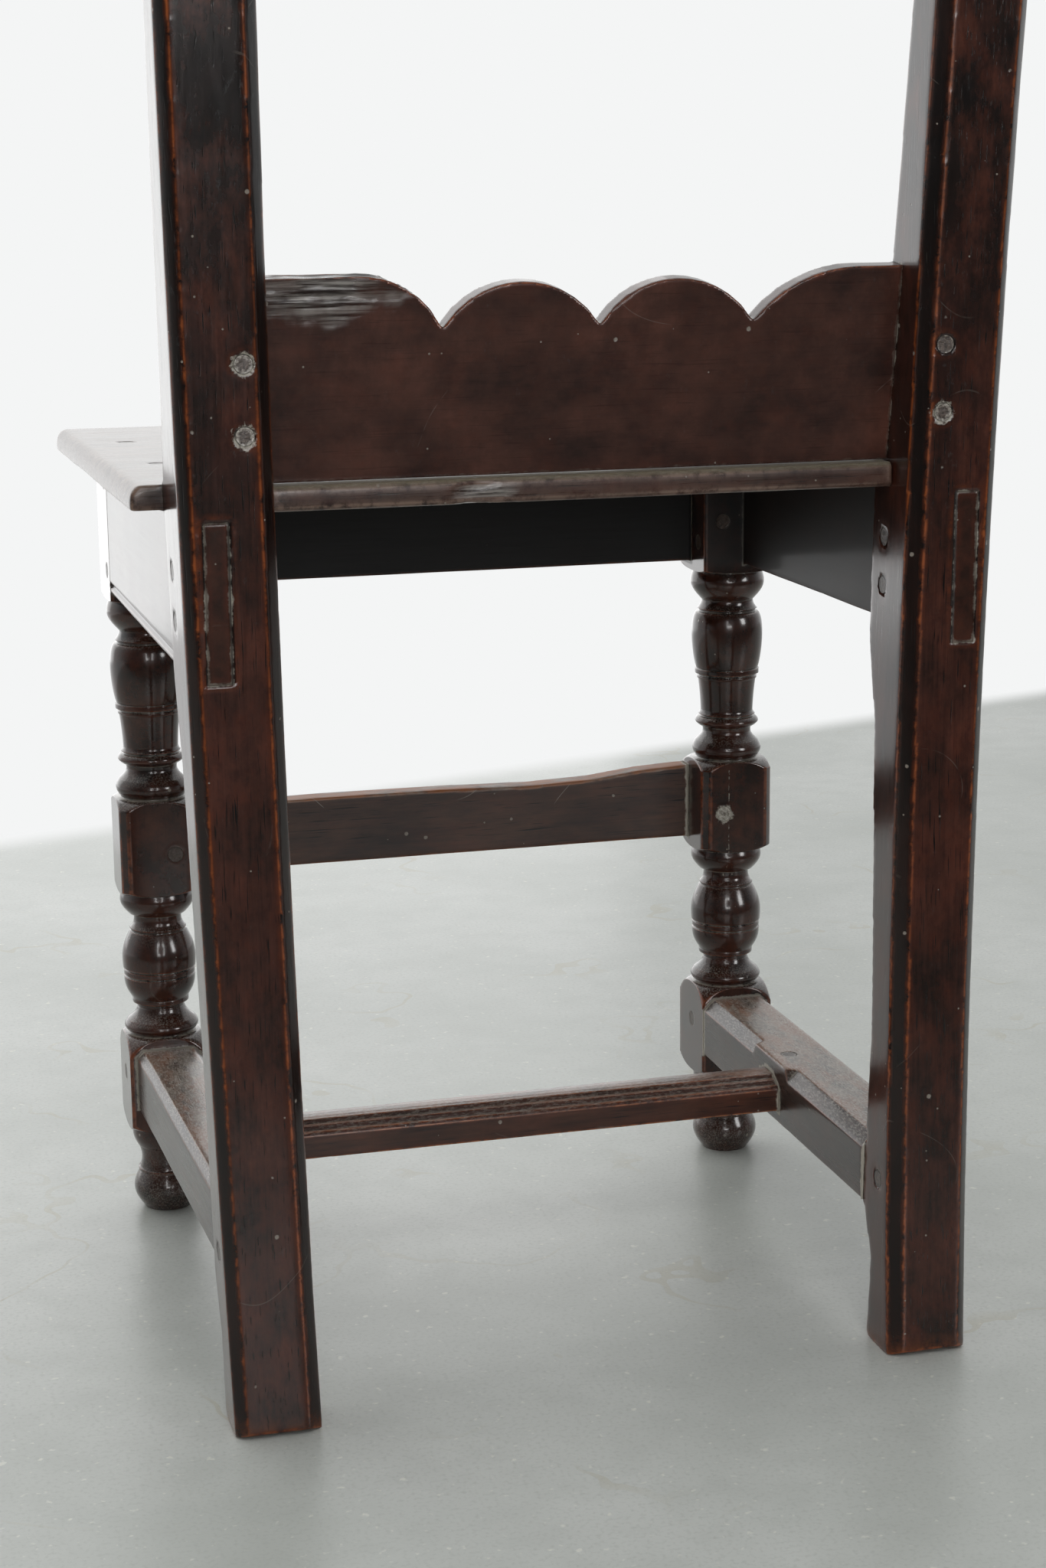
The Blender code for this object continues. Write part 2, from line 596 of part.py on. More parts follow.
def make_side_rail(side_name, side):
    """Side seat rail: a blind tenon in the leg and a through tenon in the back post."""
    front, rear = LEG_REAR_Y + GAP, -POST_KNEE_FACE - GAP
    outside = FRONT_WIDTH / 2
    outline = [(side * (outside - d), RAIL_BOTTOM + h) for d, h in rail_section()]
    mesh = plate_mesh("side_rail", outline, rear - front, along_y((0, (front + rear) / 2, 0)))
    rail = add_part(f"side_seat_rail_{side_name}", mesh, "waxed_dark_oak")
    across = sorted((side * (outside - TENON_SETBACK),
                     side * (outside - TENON_SETBACK - TENON_THICKNESS)))
    low, high = RAIL_BOTTOM + GAP, RAIL_TOP - GAP
    in_leg = cuboid((across[0], LEG_REAR_Y - LEG_TENON, low), (across[1], front + CUT_PAST, high))
    trim = Matrix.Identity(4)                 # the tenon's end is trimmed along the post's rear face
    trim[1][2] = (post_rear(high) - post_rear(low)) / (high - low)
    trim[1][3] = -trim[1][2] * low
    in_post = cuboid((across[0], rear - CUT_PAST, low), (across[1], post_rear(low) - GAP, high), trim)
    apply_shape(rail, boxes_cutter(f"side_rail_tenons_{side_name}", [in_leg, in_post]), "UNION")
    return rail, in_leg, in_post


def thumb_section():
    """What the thumb moulding takes off an edge, as (in from the edge, up from the underside)."""
    nose = SEAT_THICKNESS - THUMB_DROP
    angles = [math.radians(90 * i / 6) for i in range(7)]
    curve = [(THUMB_RUN * (1 - math.cos(a)), nose + THUMB_DROP * math.sin(a)) for a in angles]
    above = SEAT_THICKNESS + CUT_PAST
    return [(-CUT_PAST, nose)] + curve + [(THUMB_RUN, above), (-CUT_PAST, above)]


def make_seat():
    """Plank seat with thumb-moulded front and sides, and a tongue between the back posts."""
    half = FRONT_WIDTH / 2 + SEAT_OVERHANG
    front = LEG_FRONT_Y - SEAT_OVERHANG
    ears = -POST_KNEE_FACE - 2 * GAP
    rear = ears + SEAT_TONGUE
    tongue = min(post_inner(SEAT_UNDERSIDE), post_inner(SEAT_HEIGHT)) - 4 * GAP
    outline = [(-half, front), (half, front), (half, ears), (tongue, ears), (tongue, rear),
               (-tongue, rear), (-tongue, ears), (-half, ears)]
    middle = Matrix.Translation((0, 0, SEAT_UNDERSIDE + SEAT_THICKNESS / 2))
    seat = add_part("seat_board", plate_mesh("seat_board", outline, SEAT_THICKNESS, middle),
                    "worn_seat_oak")

    def rear_edges(first, second):
        rear_top = all(abs(p.y - rear) < GAP for p in (first, second))
        return 1.0 if rear_top and abs(first.x - second.x) > GAP else 0.0
    soften(seat, SEAT_REAR_ROUND, rear_edges)

    length = 2 * half + 2 * CUT_PAST
    front_cut = [(front + d, SEAT_UNDERSIDE + h) for d, h in thumb_section()]
    mouldings = [("front", front_cut, length, along_x())]
    run = ears - front + 2 * CUT_PAST
    for side_name, side in SIDES:
        side_cut = [(side * (half - d), SEAT_UNDERSIDE + h) for d, h in thumb_section()]
        mouldings.append((side_name, side_cut, run, along_y((0, (ears + front) / 2, 0))))
    for label, cut, long, place in mouldings:
        shape = bmesh.new()
        shape.from_mesh(plate_mesh(f"thumb_{label}", cut, long, place))
        apply_shape(seat, add_cutter(f"thumb_moulding_{label}", shape), "DIFFERENCE")
    return seat


def arc_points(left, right, level_left, level_right, crown, steps):
    """Points from left to right on a circle that peaks at the crown between two notches."""
    half = (right - left) / 2
    rise = crown - (level_left + level_right) / 2
    radius = (half * half + rise * rise) / (2 * rise)
    points = []
    for i in range(steps + 1):
        x = -half + 2 * half * i / steps
        points.append((left + half + x, crown - radius + math.sqrt(radius ** 2 - x * x)))
    return points


def scalloped_edge(half, height):
    """Upper edge of a back rail from left (+X) to right: flats, arches and notches."""
    notches = [NOTCH_SHIFT + NOTCH_PITCH * i for i in (-1, 0, 1)]
    low = height - NOTCH_DEPTH
    crown = height - ARCH_DROP
    right_end = arc_points(notches[0] - 2 * RIGHT_ARCH_RUN, notches[0], low, low, height,
                           2 * HALF_ARCH_STEPS)[HALF_ARCH_STEPS:]
    left_end = arc_points(notches[2], notches[2] + 2 * LEFT_ARCH_RUN, low, low, height,
                          2 * HALF_ARCH_STEPS)[:HALF_ARCH_STEPS + 1]
    arches = []
    for left, right in zip(notches, notches[1:]):
        arches += arc_points(left, right, low, low, crown, ARCH_STEPS)[1:]
    edge = [(-half, height)] + right_end + arches + left_end[1:] + [(half, height)]
    return edge


def back_rail_frame(level):
    """Matrix of a back rail: X across, Y up its leaning face, Z forward out of its front face."""
    top = level + BACK_RAIL_HEIGHT
    lean = math.atan2(post_front(top) - post_front(level), BACK_RAIL_HEIGHT)
    middle = level + BACK_RAIL_HEIGHT / 2
    forward = post_front(middle) + BACK_RAIL_INSET + BACK_RAIL_THICKNESS / 2
    rise = BACK_RAIL_HEIGHT / 2 * math.tan(lean)
    foot = Vector((0, forward - rise, level))
    turn = Matrix.Rotation(math.radians(90) - lean, 4, "X")
    return Matrix.Translation(foot) @ turn


def make_back_rail(name, level):
    """A scalloped rail that leans with the posts, tenoned into their inside faces."""
    frame = back_rail_frame(level)
    foot = post_inner(level) - GAP
    head = post_inner(level + BACK_RAIL_HEIGHT) - GAP
    outline = scalloped_edge(head, BACK_RAIL_HEIGHT) + [(foot, 0.0), (-foot, 0.0)]
    rail = add_part(name, plate_mesh(name, outline, BACK_RAIL_THICKNESS, frame), "waxed_dark_oak")
    low, high = BACK_TENON_SHOULDER, BACK_RAIL_HEIGHT - BACK_TENON_SHOULDER
    half = BACK_TENON_THICKNESS / 2
    tenons = []
    for _, side in SIDES:
        ends = sorted((side * (foot - CUT_PAST), side * (foot + BACK_TENON_LENGTH)))
        tenons.append(cuboid((ends[0], low, -half), (ends[1], high, half), frame))
    apply_shape(rail, boxes_cutter(f"{name}_tenons", tenons), "UNION")
    return rail, dict(zip(("left", "right"), tenons))


def make_front_stretcher():
    """High front stretcher, its upper edge worn hollow by feet."""
    half = LEG_INNER_X - GAP
    dips = [(1.0, 0.95), (0.5, 0.75), (0.0, 0.8), (-0.35, 1.0), (-0.6, 0.8), (-0.8, 0.25),
            (-1.0, 0.0)]
    edge = [(x * half, FRONT_STRETCHER_TOP - FRONT_STRETCHER_WEAR * dip) for x, dip in dips]
    outline = edge + [(-half, FRONT_STRETCHER_LEVEL), (half, FRONT_STRETCHER_LEVEL)]
    middle = LEG_FRONT_Y + FRONT_STRETCHER_SETBACK + FRONT_STRETCHER_THICKNESS / 2
    mesh = plate_mesh("front_stretcher", outline, FRONT_STRETCHER_THICKNESS,
                      along_y((0, middle, 0)))
    stretcher = add_part("front_stretcher", mesh, "waxed_dark_oak")
    low = FRONT_STRETCHER_LEVEL + STRETCHER_TENON_SHOULDER
    high = FRONT_STRETCHER_TOP - FRONT_STRETCHER_WEAR - STRETCHER_TENON_SHOULDER
    thick = STRETCHER_TENON_THICKNESS / 2
    tenons = []
    for _, side in SIDES:
        ends = sorted((side * (LEG_INNER_X - CUT_PAST),
                       side * (LEG_INNER_X + FRONT_STRETCHER_TENON)))
        tenons.append(cuboid((ends[0], middle - thick, low), (ends[1], middle + thick, high)))
    apply_shape(stretcher, boxes_cutter("front_stretcher_tenons", tenons), "UNION")
    return stretcher, dict(zip(("left", "right"), tenons))


def chamfer_cutter(name, frame, start, end):
    """A stopped chamfer on an arris that runs along local X, with slanted stops."""
    depth = SIDE_STRETCHER_CHAMFER / math.sqrt(2)
    outline = [(start - CUT_PAST, CUT_PAST), (end + CUT_PAST, CUT_PAST), (end - depth, -depth),
               (start + depth, -depth)]
    mesh = plate_mesh(name, outline, 3 * SIDE_STRETCHER_CHAMFER, frame)
    shape = bmesh.new()
    shape.from_mesh(mesh)
    return add_cutter(name, shape)


def make_side_stretcher(side_name, side):
    """Low side stretcher with stopped chamfers on either side of the medial stretcher."""
    front, rear = LEG_REAR_Y + GAP, -POST_LOWER_FACE - GAP
    length = rear - front
    climb = Matrix.Identity(4)
    climb[0][1] = -side * SIDE_STRETCHER_TOE / length
    climb[2][1] = SIDE_STRETCHER_RISE / length
    frame = Matrix.Translation((side * SIDE_STRETCHER_X, front, SIDE_STRETCHER_LEVEL)) @ climb
    half = SIDE_STRETCHER_WIDTH / 2
    arris = SIDE_STRETCHER_ARRIS
    height = SIDE_STRETCHER_HEIGHT
    section = [(-side * half, 0.0), (side * half, 0.0), (side * half, height - arris),
               (side * (half - arris), height), (-side * half, height)]
    mesh = plate_mesh("side_stretcher", section, length, frame @ along_y((0, length / 2, 0)))
    stretcher = add_part(f"side_stretcher_{side_name}", mesh, "waxed_dark_oak")

    thick = SIDE_TENON_THICKNESS / 2
    low, high = STRETCHER_TENON_SHOULDER, height - STRETCHER_TENON_SHOULDER
    in_leg = cuboid((-thick, -SIDE_TENON_LEG, low), (thick, CUT_PAST, high), frame)
    in_post = cuboid((-thick, length - CUT_PAST, low), (thick, length + SIDE_TENON_POST, high),
                     frame)
    apply_shape(stretcher, boxes_cutter(f"side_stretcher_tenons_{side_name}", [in_leg, in_post]),
                "UNION")

    joint = -MEDIAL_CENTRE - front
    clear = MEDIAL_WIDTH / 2 + CHAMFER_STOP
    spans = (("fore", -2 * CUT_PAST - SIDE_STRETCHER_CHAMFER, joint - clear),
             ("aft", joint + clear, length + 2 * CUT_PAST + SIDE_STRETCHER_CHAMFER))
    edge = Matrix.Translation((-side * half, 0, height))
    lean = Matrix.Rotation(math.radians(-45 * side), 4, "Y") @ Matrix(
        ((0, 0, 1, 0), (1, 0, 0, 0), (0, 1, 0, 0), (0, 0, 0, 1)))
    for label, start, end in spans:
        cutter = chamfer_cutter(f"chamfer_{label}_{side_name}", frame @ edge @ lean, start, end)
        apply_shape(stretcher, cutter, "DIFFERENCE")
    return stretcher, in_leg, in_post


def medial_section():
    """Medial stretcher seen on end: upright edges, run mouldings and a flat along the top."""
    half, flat = MEDIAL_WIDTH / 2, MEDIAL_TOP / 2
    rise = MEDIAL_HEIGHT - MEDIAL_EDGE
    run = (half - flat) / MEDIAL_REEDS
    slope = []
    for i in range(MEDIAL_REEDS):
        outer = (half - run * i, MEDIAL_EDGE + rise * i / MEDIAL_REEDS)
        slope.append((outer[0], outer[1]))
        slope.append((outer[0] - run * 0.35, outer[1] + rise / MEDIAL_REEDS * 0.85))
        slope.append((outer[0] - run * 0.8, outer[1] + rise / MEDIAL_REEDS * 0.9))
        slope.append((outer[0] - run, outer[1] + rise / MEDIAL_REEDS - REED_SINK * 0.5))
    mirrored = [(-x, z) for x, z in reversed(slope)]
    top = [(flat, MEDIAL_HEIGHT), (-flat, MEDIAL_HEIGHT)]
    return [(-half, 0.0), (half, 0.0)] + slope + top + mirrored


def medial_share():
    """How far back along the side stretchers the medial stretcher lies, from 0 to 1."""
    return (-MEDIAL_CENTRE - LEG_REAR_Y) / (-POST_LOWER_FACE - LEG_REAR_Y)


def stretcher_inner():
    """X of the left side stretcher's inside face where the medial stretcher meets it."""
    return SIDE_STRETCHER_X - SIDE_STRETCHER_WIDTH / 2 - SIDE_STRETCHER_TOE * medial_share()


def make_medial_stretcher():
    """Moulded stretcher that joins the two side stretchers."""
    level = SIDE_STRETCHER_LEVEL + MEDIAL_LEVEL
    inner = stretcher_inner()
    length = 2 * (inner - 2 * GAP)
    outline = [(y - MEDIAL_CENTRE, level + z) for y, z in medial_section()]
    mesh = plate_mesh("medial_stretcher", outline, length, along_x())
    stretcher = add_part("medial_stretcher", mesh, "waxed_dark_oak")
    wide = MEDIAL_TENON_WIDTH / 2
    low = level + GAP + (MEDIAL_EDGE - MEDIAL_TENON_THICKNESS) / 2
    tenons = []
    for _, side in SIDES:
        ends = sorted((side * (inner - CUT_PAST), side * (inner + MEDIAL_TENON_LENGTH)))
        tenons.append(cuboid((ends[0], -MEDIAL_CENTRE - wide, low),
                             (ends[1], -MEDIAL_CENTRE + wide, low + MEDIAL_TENON_THICKNESS)))
    apply_shape(stretcher, boxes_cutter("medial_tenons", tenons), "UNION")
    return stretcher, dict(zip(("left", "right"), tenons))


# Pegs
def peg(name, start, end, diameter=PEG_DIAMETER, blind=False):
    """Describe one peg by its two ends, just under the surfaces that it crosses."""
    return {"name": name, "start": Vector(start), "end": Vector(end), "diameter": diameter,
            "blind": blind}


def make_pegs(pegs):
    """Make each peg as its own piece."""
    for item in pegs:
        shape = bmesh.new()
        add_pin(shape, item["start"], item["end"], item["diameter"])
        bmesh.ops.recalc_face_normals(shape, faces=shape.faces)
        mesh = bpy.data.meshes.new(item["name"])
        shape.to_mesh(mesh)
        shape.free()
        mesh.shade_smooth()
        mesh.set_sharp_from_angle(angle=math.radians(40))
        add_part(item["name"], mesh, "riven_oak_peg")


def side_pegs(side_name, side):
    """All the pegs on one side of the chair, grouped by the joint that they hold."""
    groups = {}
    inset = PEG_RECESS
    outer_x, inner_x = FRONT_WIDTH / 2 - inset, LEG_INNER_X + inset

    def pair(label, base, spread, ends):
        made = []
        for word, sign in (("lower", -1), ("upper", 1)):
            level = base + sign * spread
            start, end = ends(level)
            made.append(peg(f"{label}_{side_name}_{word}", start, end))
        return made

    leg_peg_y = LEG_REAR_Y - LEG_PEG_SETBACK
    groups["side_rail_leg"] = pair(
        "side_rail_leg_peg", RAIL_MIDDLE, LEG_SIDE_PEG_SPREAD,
        lambda z: ((side * outer_x, leg_peg_y, z), (side * inner_x, leg_peg_y, z)))
    post_peg_y = -POST_KNEE_FACE + POST_PEG_SETBACK
    groups["side_rail_post"] = pair(
        "side_rail_post_peg", RAIL_MIDDLE, POST_PEG_SPREAD,
        lambda z: ((side * (post_outer(z) - inset), post_peg_y, z),
                   (side * (post_inner(z) + inset), post_peg_y, z)))
    front_x = side * (LEG_INNER_X + LEG_PEG_SETBACK)
    groups["front_rail"] = pair(
        "front_rail_peg", RAIL_MIDDLE, LEG_FRONT_PEG_SPREAD,
        lambda z: ((front_x, LEG_FRONT_Y + inset, z), (front_x, LEG_REAR_Y - inset, z)))

    for label, base in (("back_rail", BACK_RAIL_LEVEL), ("crest_rail", CREST_LEVEL)):
        levels = (base + BACK_PEG_LOW, base + BACK_PEG_HIGH)
        middle, spread = sum(levels) / 2, (levels[1] - levels[0]) / 2
        x = side * (post_inner(middle) + BACK_PEG_SETBACK)
        groups[label] = pair(
            f"{label}_peg", middle, spread,
            lambda z, x=x: ((x, post_rear(z) - inset, z), (x, post_front(z) + inset, z)))

    level = FRONT_STRETCHER_LEVEL + (FRONT_STRETCHER_HEIGHT - FRONT_STRETCHER_WEAR) / 2
    x = side * (LEG_INNER_X + FRONT_STRETCHER_PEG_SETBACK)
    groups["front_stretcher"] = [peg(f"front_stretcher_peg_{side_name}",
                                     (x, LEG_FRONT_Y + inset, level),
                                     (x, LEG_REAR_Y - inset, level))]

    low = SIDE_STRETCHER_LEVEL + SIDE_STRETCHER_HEIGHT / 2
    y = LEG_REAR_Y - SIDE_LEG_PEG_SETBACK
    groups["side_stretcher_leg"] = [peg(f"side_stretcher_leg_peg_{side_name}",
                                        (side * outer_x, y, low), (side * inner_x, y, low))]
    low += SIDE_STRETCHER_RISE
    y = -POST_LOWER_FACE + SIDE_POST_PEG_SETBACK
    groups["side_stretcher_post"] = [peg(f"side_stretcher_post_peg_{side_name}",
                                         (side * (post_outer(low) - inset), y, low),
                                         (side * (post_inner(low) + inset), y, low))]

    x = side * (stretcher_inner() + MEDIAL_PEG_SETBACK)
    floor = SIDE_STRETCHER_LEVEL + SIDE_STRETCHER_RISE * medial_share()
    groups["medial"] = [peg(f"medial_peg_{side_name}",
                            (x, -MEDIAL_CENTRE, floor + SIDE_STRETCHER_HEIGHT - inset),
                            (x, -MEDIAL_CENTRE, floor + inset))]

    top, bottom = SEAT_HEIGHT - inset, SEAT_UNDERSIDE - PEG_BITE
    rail_x = side * (FRONT_WIDTH / 2 - SEAT_PEG_SETBACK)
    groups["seat_side"] = [
        peg(f"seat_peg_{side_name}_{word}", (rail_x, y, top), (rail_x, y, bottom),
            SEAT_PEG_DIAMETER, blind=True)
        for word, y in (("fore", LEG_REAR_Y + SEAT_PEG_FORE),
                        ("aft", -POST_KNEE_FACE - SEAT_PEG_AFT))]
    rail_y = LEG_FRONT_Y + RAIL_THICKNESS / 2
    groups["seat_front"] = [
        peg(f"seat_peg_{side_name}_front", (side * SEAT_PEG_FRONT, rail_y, top),
            (side * SEAT_PEG_FRONT, rail_y, bottom), SEAT_PEG_DIAMETER, blind=True)]
    return groups


# Assembly
def build_chair():
    """Make every piece, cut its mortises and peg holes, and place the chair on its origin."""
    front_rail, front_rail_tenons = make_front_rail()
    back_rail, back_tenons = make_back_rail("lower_back_rail", BACK_RAIL_LEVEL)
    crest_rail, crest_tenons = make_back_rail("crest_rail", CREST_LEVEL)
    front_stretcher, front_stretcher_tenons = make_front_stretcher()
    medial, medial_tenons = make_medial_stretcher()
    seat = make_seat()

    shared = {piece: [] for piece in (front_rail, back_rail, crest_rail, front_stretcher, medial, seat)}
    for side_name, side in SIDES:
        post = make_post(side_name, side)
        leg = make_leg(side_name, side)
        rail, rail_in_leg, rail_in_post = make_side_rail(side_name, side)
        stretcher, in_leg, in_post = make_side_stretcher(side_name, side)
        pegs = side_pegs(side_name, side)

        low, high, trim = rail_in_post
        through = (low, high + Vector((0, CUT_PAST, 0)), trim)
        post_mortises = [through, in_post, back_tenons[side_name], crest_tenons[side_name]]
        leg_mortises = [rail_in_leg, in_leg, front_rail_tenons[side_name],
                        front_stretcher_tenons[side_name]]
        sockets = (
            (post, post_mortises, ("side_rail_post", "side_stretcher_post", "back_rail",
                                   "crest_rail")),
            (leg, leg_mortises, ("side_rail_leg", "side_stretcher_leg", "front_rail",
                                 "front_stretcher")),
            (rail, [], ("side_rail_leg", "side_rail_post", "seat_side")),
            (stretcher, [medial_tenons[side_name]], ("side_stretcher_leg", "side_stretcher_post",
                                                     "medial")),
        )
        for piece, mortises, labels in sockets:
            if mortises:
                cutter = boxes_cutter(f"{piece.name}_mortises", [grown(m, GAP) for m in mortises])
                if piece is leg:
                    cutter.matrix_world = Matrix.Identity(4)
                apply_shape(piece, cutter, "DIFFERENCE")
            crossing = [item for label in labels for item in pegs[label]]
            apply_shape(piece, pin_holes(f"{piece.name}_peg_holes", crossing, CUT_PAST), "DIFFERENCE")
        shared[front_rail] += pegs["front_rail"] + pegs["seat_front"]
        shared[back_rail] += pegs["back_rail"]
        shared[crest_rail] += pegs["crest_rail"]
        shared[front_stretcher] += pegs["front_stretcher"]
        shared[medial] += pegs["medial"]
        shared[seat] += pegs["seat_side"] + pegs["seat_front"]
        for group in pegs.values():
            make_pegs(group)
    for piece, crossing in shared.items():
        apply_shape(piece, pin_holes(f"{piece.name}_peg_holes", crossing, CUT_PAST), "DIFFERENCE")

    front_edge = LEG_FRONT_Y - SEAT_OVERHANG
    rear_edge = max(post_rear(0.0), post_rear(POST_HEIGHT))
    origin = bpy.data.objects.new("chair_origin", None)
    origin.location = (0.0, -(front_edge + rear_edge) / 2, 0.0)
    bpy.context.scene.collection.objects.link(origin)
    for piece in list(CHAIR.objects) + list(CUTTERS.objects):
        piece.parent = origin
    bpy.context.view_layer.update()


build_chair()
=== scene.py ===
# %% [markdown]
# # A provincial side chair in dark waxed oak
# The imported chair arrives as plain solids, in metres, each already in its place. This lesson leaves
# those solids alone and makes a worn wooden piece over each of them, so the arrises are rubbed round,
# the turnings are truly round and the pegs sit in their holes. The chair stands still, so every piece
# rides on the one body, root. The box round the solids is kept first, to compare sizes at the end.

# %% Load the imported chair
import math

import bmesh
import bpy
import numpy as np
from mathutils import Matrix, Vector


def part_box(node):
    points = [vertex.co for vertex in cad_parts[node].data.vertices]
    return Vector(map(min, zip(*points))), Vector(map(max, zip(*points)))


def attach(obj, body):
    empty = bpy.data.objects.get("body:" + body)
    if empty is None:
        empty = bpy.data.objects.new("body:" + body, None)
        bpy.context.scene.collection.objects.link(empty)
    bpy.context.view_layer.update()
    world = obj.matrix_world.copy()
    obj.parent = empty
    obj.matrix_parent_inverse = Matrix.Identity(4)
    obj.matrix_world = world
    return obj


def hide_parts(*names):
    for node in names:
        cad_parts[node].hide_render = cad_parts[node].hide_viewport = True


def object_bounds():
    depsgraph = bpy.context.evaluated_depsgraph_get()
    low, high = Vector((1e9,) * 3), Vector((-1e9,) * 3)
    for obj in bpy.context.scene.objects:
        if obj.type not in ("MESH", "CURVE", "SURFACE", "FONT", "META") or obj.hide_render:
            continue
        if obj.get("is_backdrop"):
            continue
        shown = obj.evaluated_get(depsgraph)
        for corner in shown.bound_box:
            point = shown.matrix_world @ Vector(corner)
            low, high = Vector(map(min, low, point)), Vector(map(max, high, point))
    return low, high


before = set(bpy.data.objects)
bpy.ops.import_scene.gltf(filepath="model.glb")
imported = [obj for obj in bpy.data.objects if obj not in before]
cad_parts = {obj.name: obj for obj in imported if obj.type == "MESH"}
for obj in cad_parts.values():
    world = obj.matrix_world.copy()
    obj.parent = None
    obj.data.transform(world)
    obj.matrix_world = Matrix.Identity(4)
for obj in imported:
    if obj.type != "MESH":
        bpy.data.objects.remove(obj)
CAD_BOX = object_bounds()
MM = 0.001
print(len(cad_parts), "solids, box", [[round(v, 4) for v in corner] for corner in CAD_BOX])

# %% [markdown]
# ## Three small helpers
# Colours are written as sRGB hex values, as read off a paint card, and Blender's shaders want linear
# light, so one function converts them. Node trees are long, so one function adds a node: its options
# go in as settings, and each input takes a number or another node, whose first output is linked. Most of
# what is seen is one paint over another where some value is high, so a third function lays such a layer.

# %% Colour and node helpers
MATH, VECTOR, MIX = "ShaderNodeMath", "ShaderNodeVectorMath", "ShaderNodeMix"
RANGE, NOISE, SPLIT = "ShaderNodeMapRange", "ShaderNodeTexNoise", "ShaderNodeSeparateXYZ"


def linear(hex_colour):
    """Turn an sRGB hex colour into linear red, green, blue and full alpha."""
    shares = [int(hex_colour[i:i + 2], 16) / 255 for i in (1, 3, 5)]
    return tuple(s / 12.92 if s <= 0.04045 else ((s + 0.055) / 1.055) ** 2.4 for s in shares) + (1.0,)


def add(tree, kind, *values, **settings):
    """Add one node with its options. Numbers and nodes fill its inputs in order, or by name from a dict."""
    node = tree.nodes.new(kind)
    for option, value in settings.items():
        setattr(node, option, value)
    inputs = [socket for socket in node.inputs if socket.enabled]
    named = values[0] if values and isinstance(values[0], dict) else dict(enumerate(values))
    for key, value in named.items():
        socket = inputs[key] if isinstance(key, int) else next(s for s in inputs if s.name == key)
        if isinstance(value, bpy.types.Node):
            value = next(s for s in value.outputs if s.enabled)
        if isinstance(value, bpy.types.NodeSocket):
            tree.links.new(value, socket)
        else:
            socket.default_value = value
    return node


def lay(tree, colour, paint, value, start, end, most=1.0, where=None):
    """Paint over a colour, more and more as a value goes from start to end. Gives the colour and the share."""
    share = add(tree, RANGE, {"Value": value, "From Min": start, "From Max": end, "To Max": most})
    if where is not None:
        share = add(tree, MATH, share, where, operation="MULTIPLY")
    paint = linear(paint) if isinstance(paint, str) else paint
    return add(tree, MIX, {"Factor": share, "A": colour, "B": paint}, data_type="RGBA"), share


print("oak brown in linear light", [round(v, 4) for v in linear("#33211b")])

# %% [markdown]
# ## Camera
# The photograph looks at the chair from behind, a little above and to one side. A camera can be placed
# by eye, but here its place, turn and focal length were worked out from the chair's straight edges, so
# they are given as numbers. The view axes are built from yaw, pitch and roll and put into a matrix.

# %% Camera behind the chair
CAMERA_PLACE = Vector((0.38691, 1.42141, 0.60302))
YAW, PITCH, ROLL = 0.267089, -0.217312, -0.010356
FOCAL_PIXELS, IMAGE_HEIGHT, SENSOR_HEIGHT = 3669.97, 2048, 36.0

flat_ahead = Vector((-math.sin(YAW), -math.cos(YAW), 0))
flat_right = Vector((-math.cos(YAW), math.sin(YAW), 0))
ahead = flat_ahead * math.cos(PITCH) + Vector((0, 0, math.sin(PITCH)))
level_up = Vector((0, 0, math.cos(PITCH))) - flat_ahead * math.sin(PITCH)
right = flat_right * math.cos(ROLL) + level_up * math.sin(ROLL)
up = level_up * math.cos(ROLL) - flat_right * math.sin(ROLL)

lens = bpy.data.cameras.new("camera_behind")
lens.sensor_fit = "VERTICAL"
lens.sensor_height = SENSOR_HEIGHT
lens.lens = FOCAL_PIXELS / IMAGE_HEIGHT * SENSOR_HEIGHT
camera = bpy.data.objects.new("camera_behind", lens)
camera.matrix_world = Matrix.Translation(CAMERA_PLACE) @ Matrix((right, up, -ahead)).transposed().to_4x4()
bpy.context.scene.collection.objects.link(camera)
bpy.context.scene.camera = camera
bpy.context.scene.view_settings.view_transform = "Standard"
print("lens", round(lens.lens, 2), "mm")

# %% [markdown]
# ## Floor and light
# The chair stands on smooth grey concrete in a white room with daylight from the front. The floor could
# be one flat colour, but polished concrete is cloudy and gives soft reflections of the feet, so it gets
# clouds of two sizes, grit, flecks and some gloss. For the camera it fades to the white of the room with
# distance. The world is white to the camera, and lights the chair more from the front than from behind.

# %% Floor plate
FLOOR_HALF = 9.0

floor_mesh = bpy.data.meshes.new("concrete_floor")
corners = [(x * FLOOR_HALF, y * FLOOR_HALF, 0.0) for x, y in ((-1, -1), (1, -1), (1, 1), (-1, 1))]
floor_mesh.from_pydata(corners, [], [(0, 1, 2, 3)])
floor = bpy.data.objects.new("concrete_floor", floor_mesh)
bpy.context.scene.collection.objects.link(floor)
print("floor", 2 * FLOOR_HALF, "m square")

# %% Concrete
# Polished concrete: pale grey, a little green, with soft clouds, grit, pale flecks and a low sheen
concrete = bpy.data.materials.new("polished_concrete")
concrete.use_nodes = True
tree = concrete.node_tree
spot = add(tree, "ShaderNodeTexCoord").outputs["Object"]
grey = linear("#c1c5bf")
# Layers: size in metres, detail, where they start and end, strength, colour
for size, detail, start, end, strength, paint in (
        (0.2, 7.0, 0.36, 0.64, 1.0, "#cfd2cd"), (0.03, 5.0, 0.45, 0.70, 0.35, "#b9bdb7"),
        (0.0025, 2.0, 0.50, 0.75, 0.5, "#afb3ac"), (0.006, 2.0, 0.66, 0.74, 0.7, "#e4e5db")):
    layer = add(tree, NOISE, {"Vector": spot, "Scale": 1 / size, "Detail": detail})
    grey, _ = lay(tree, grey, paint, layer, start, end, strength)
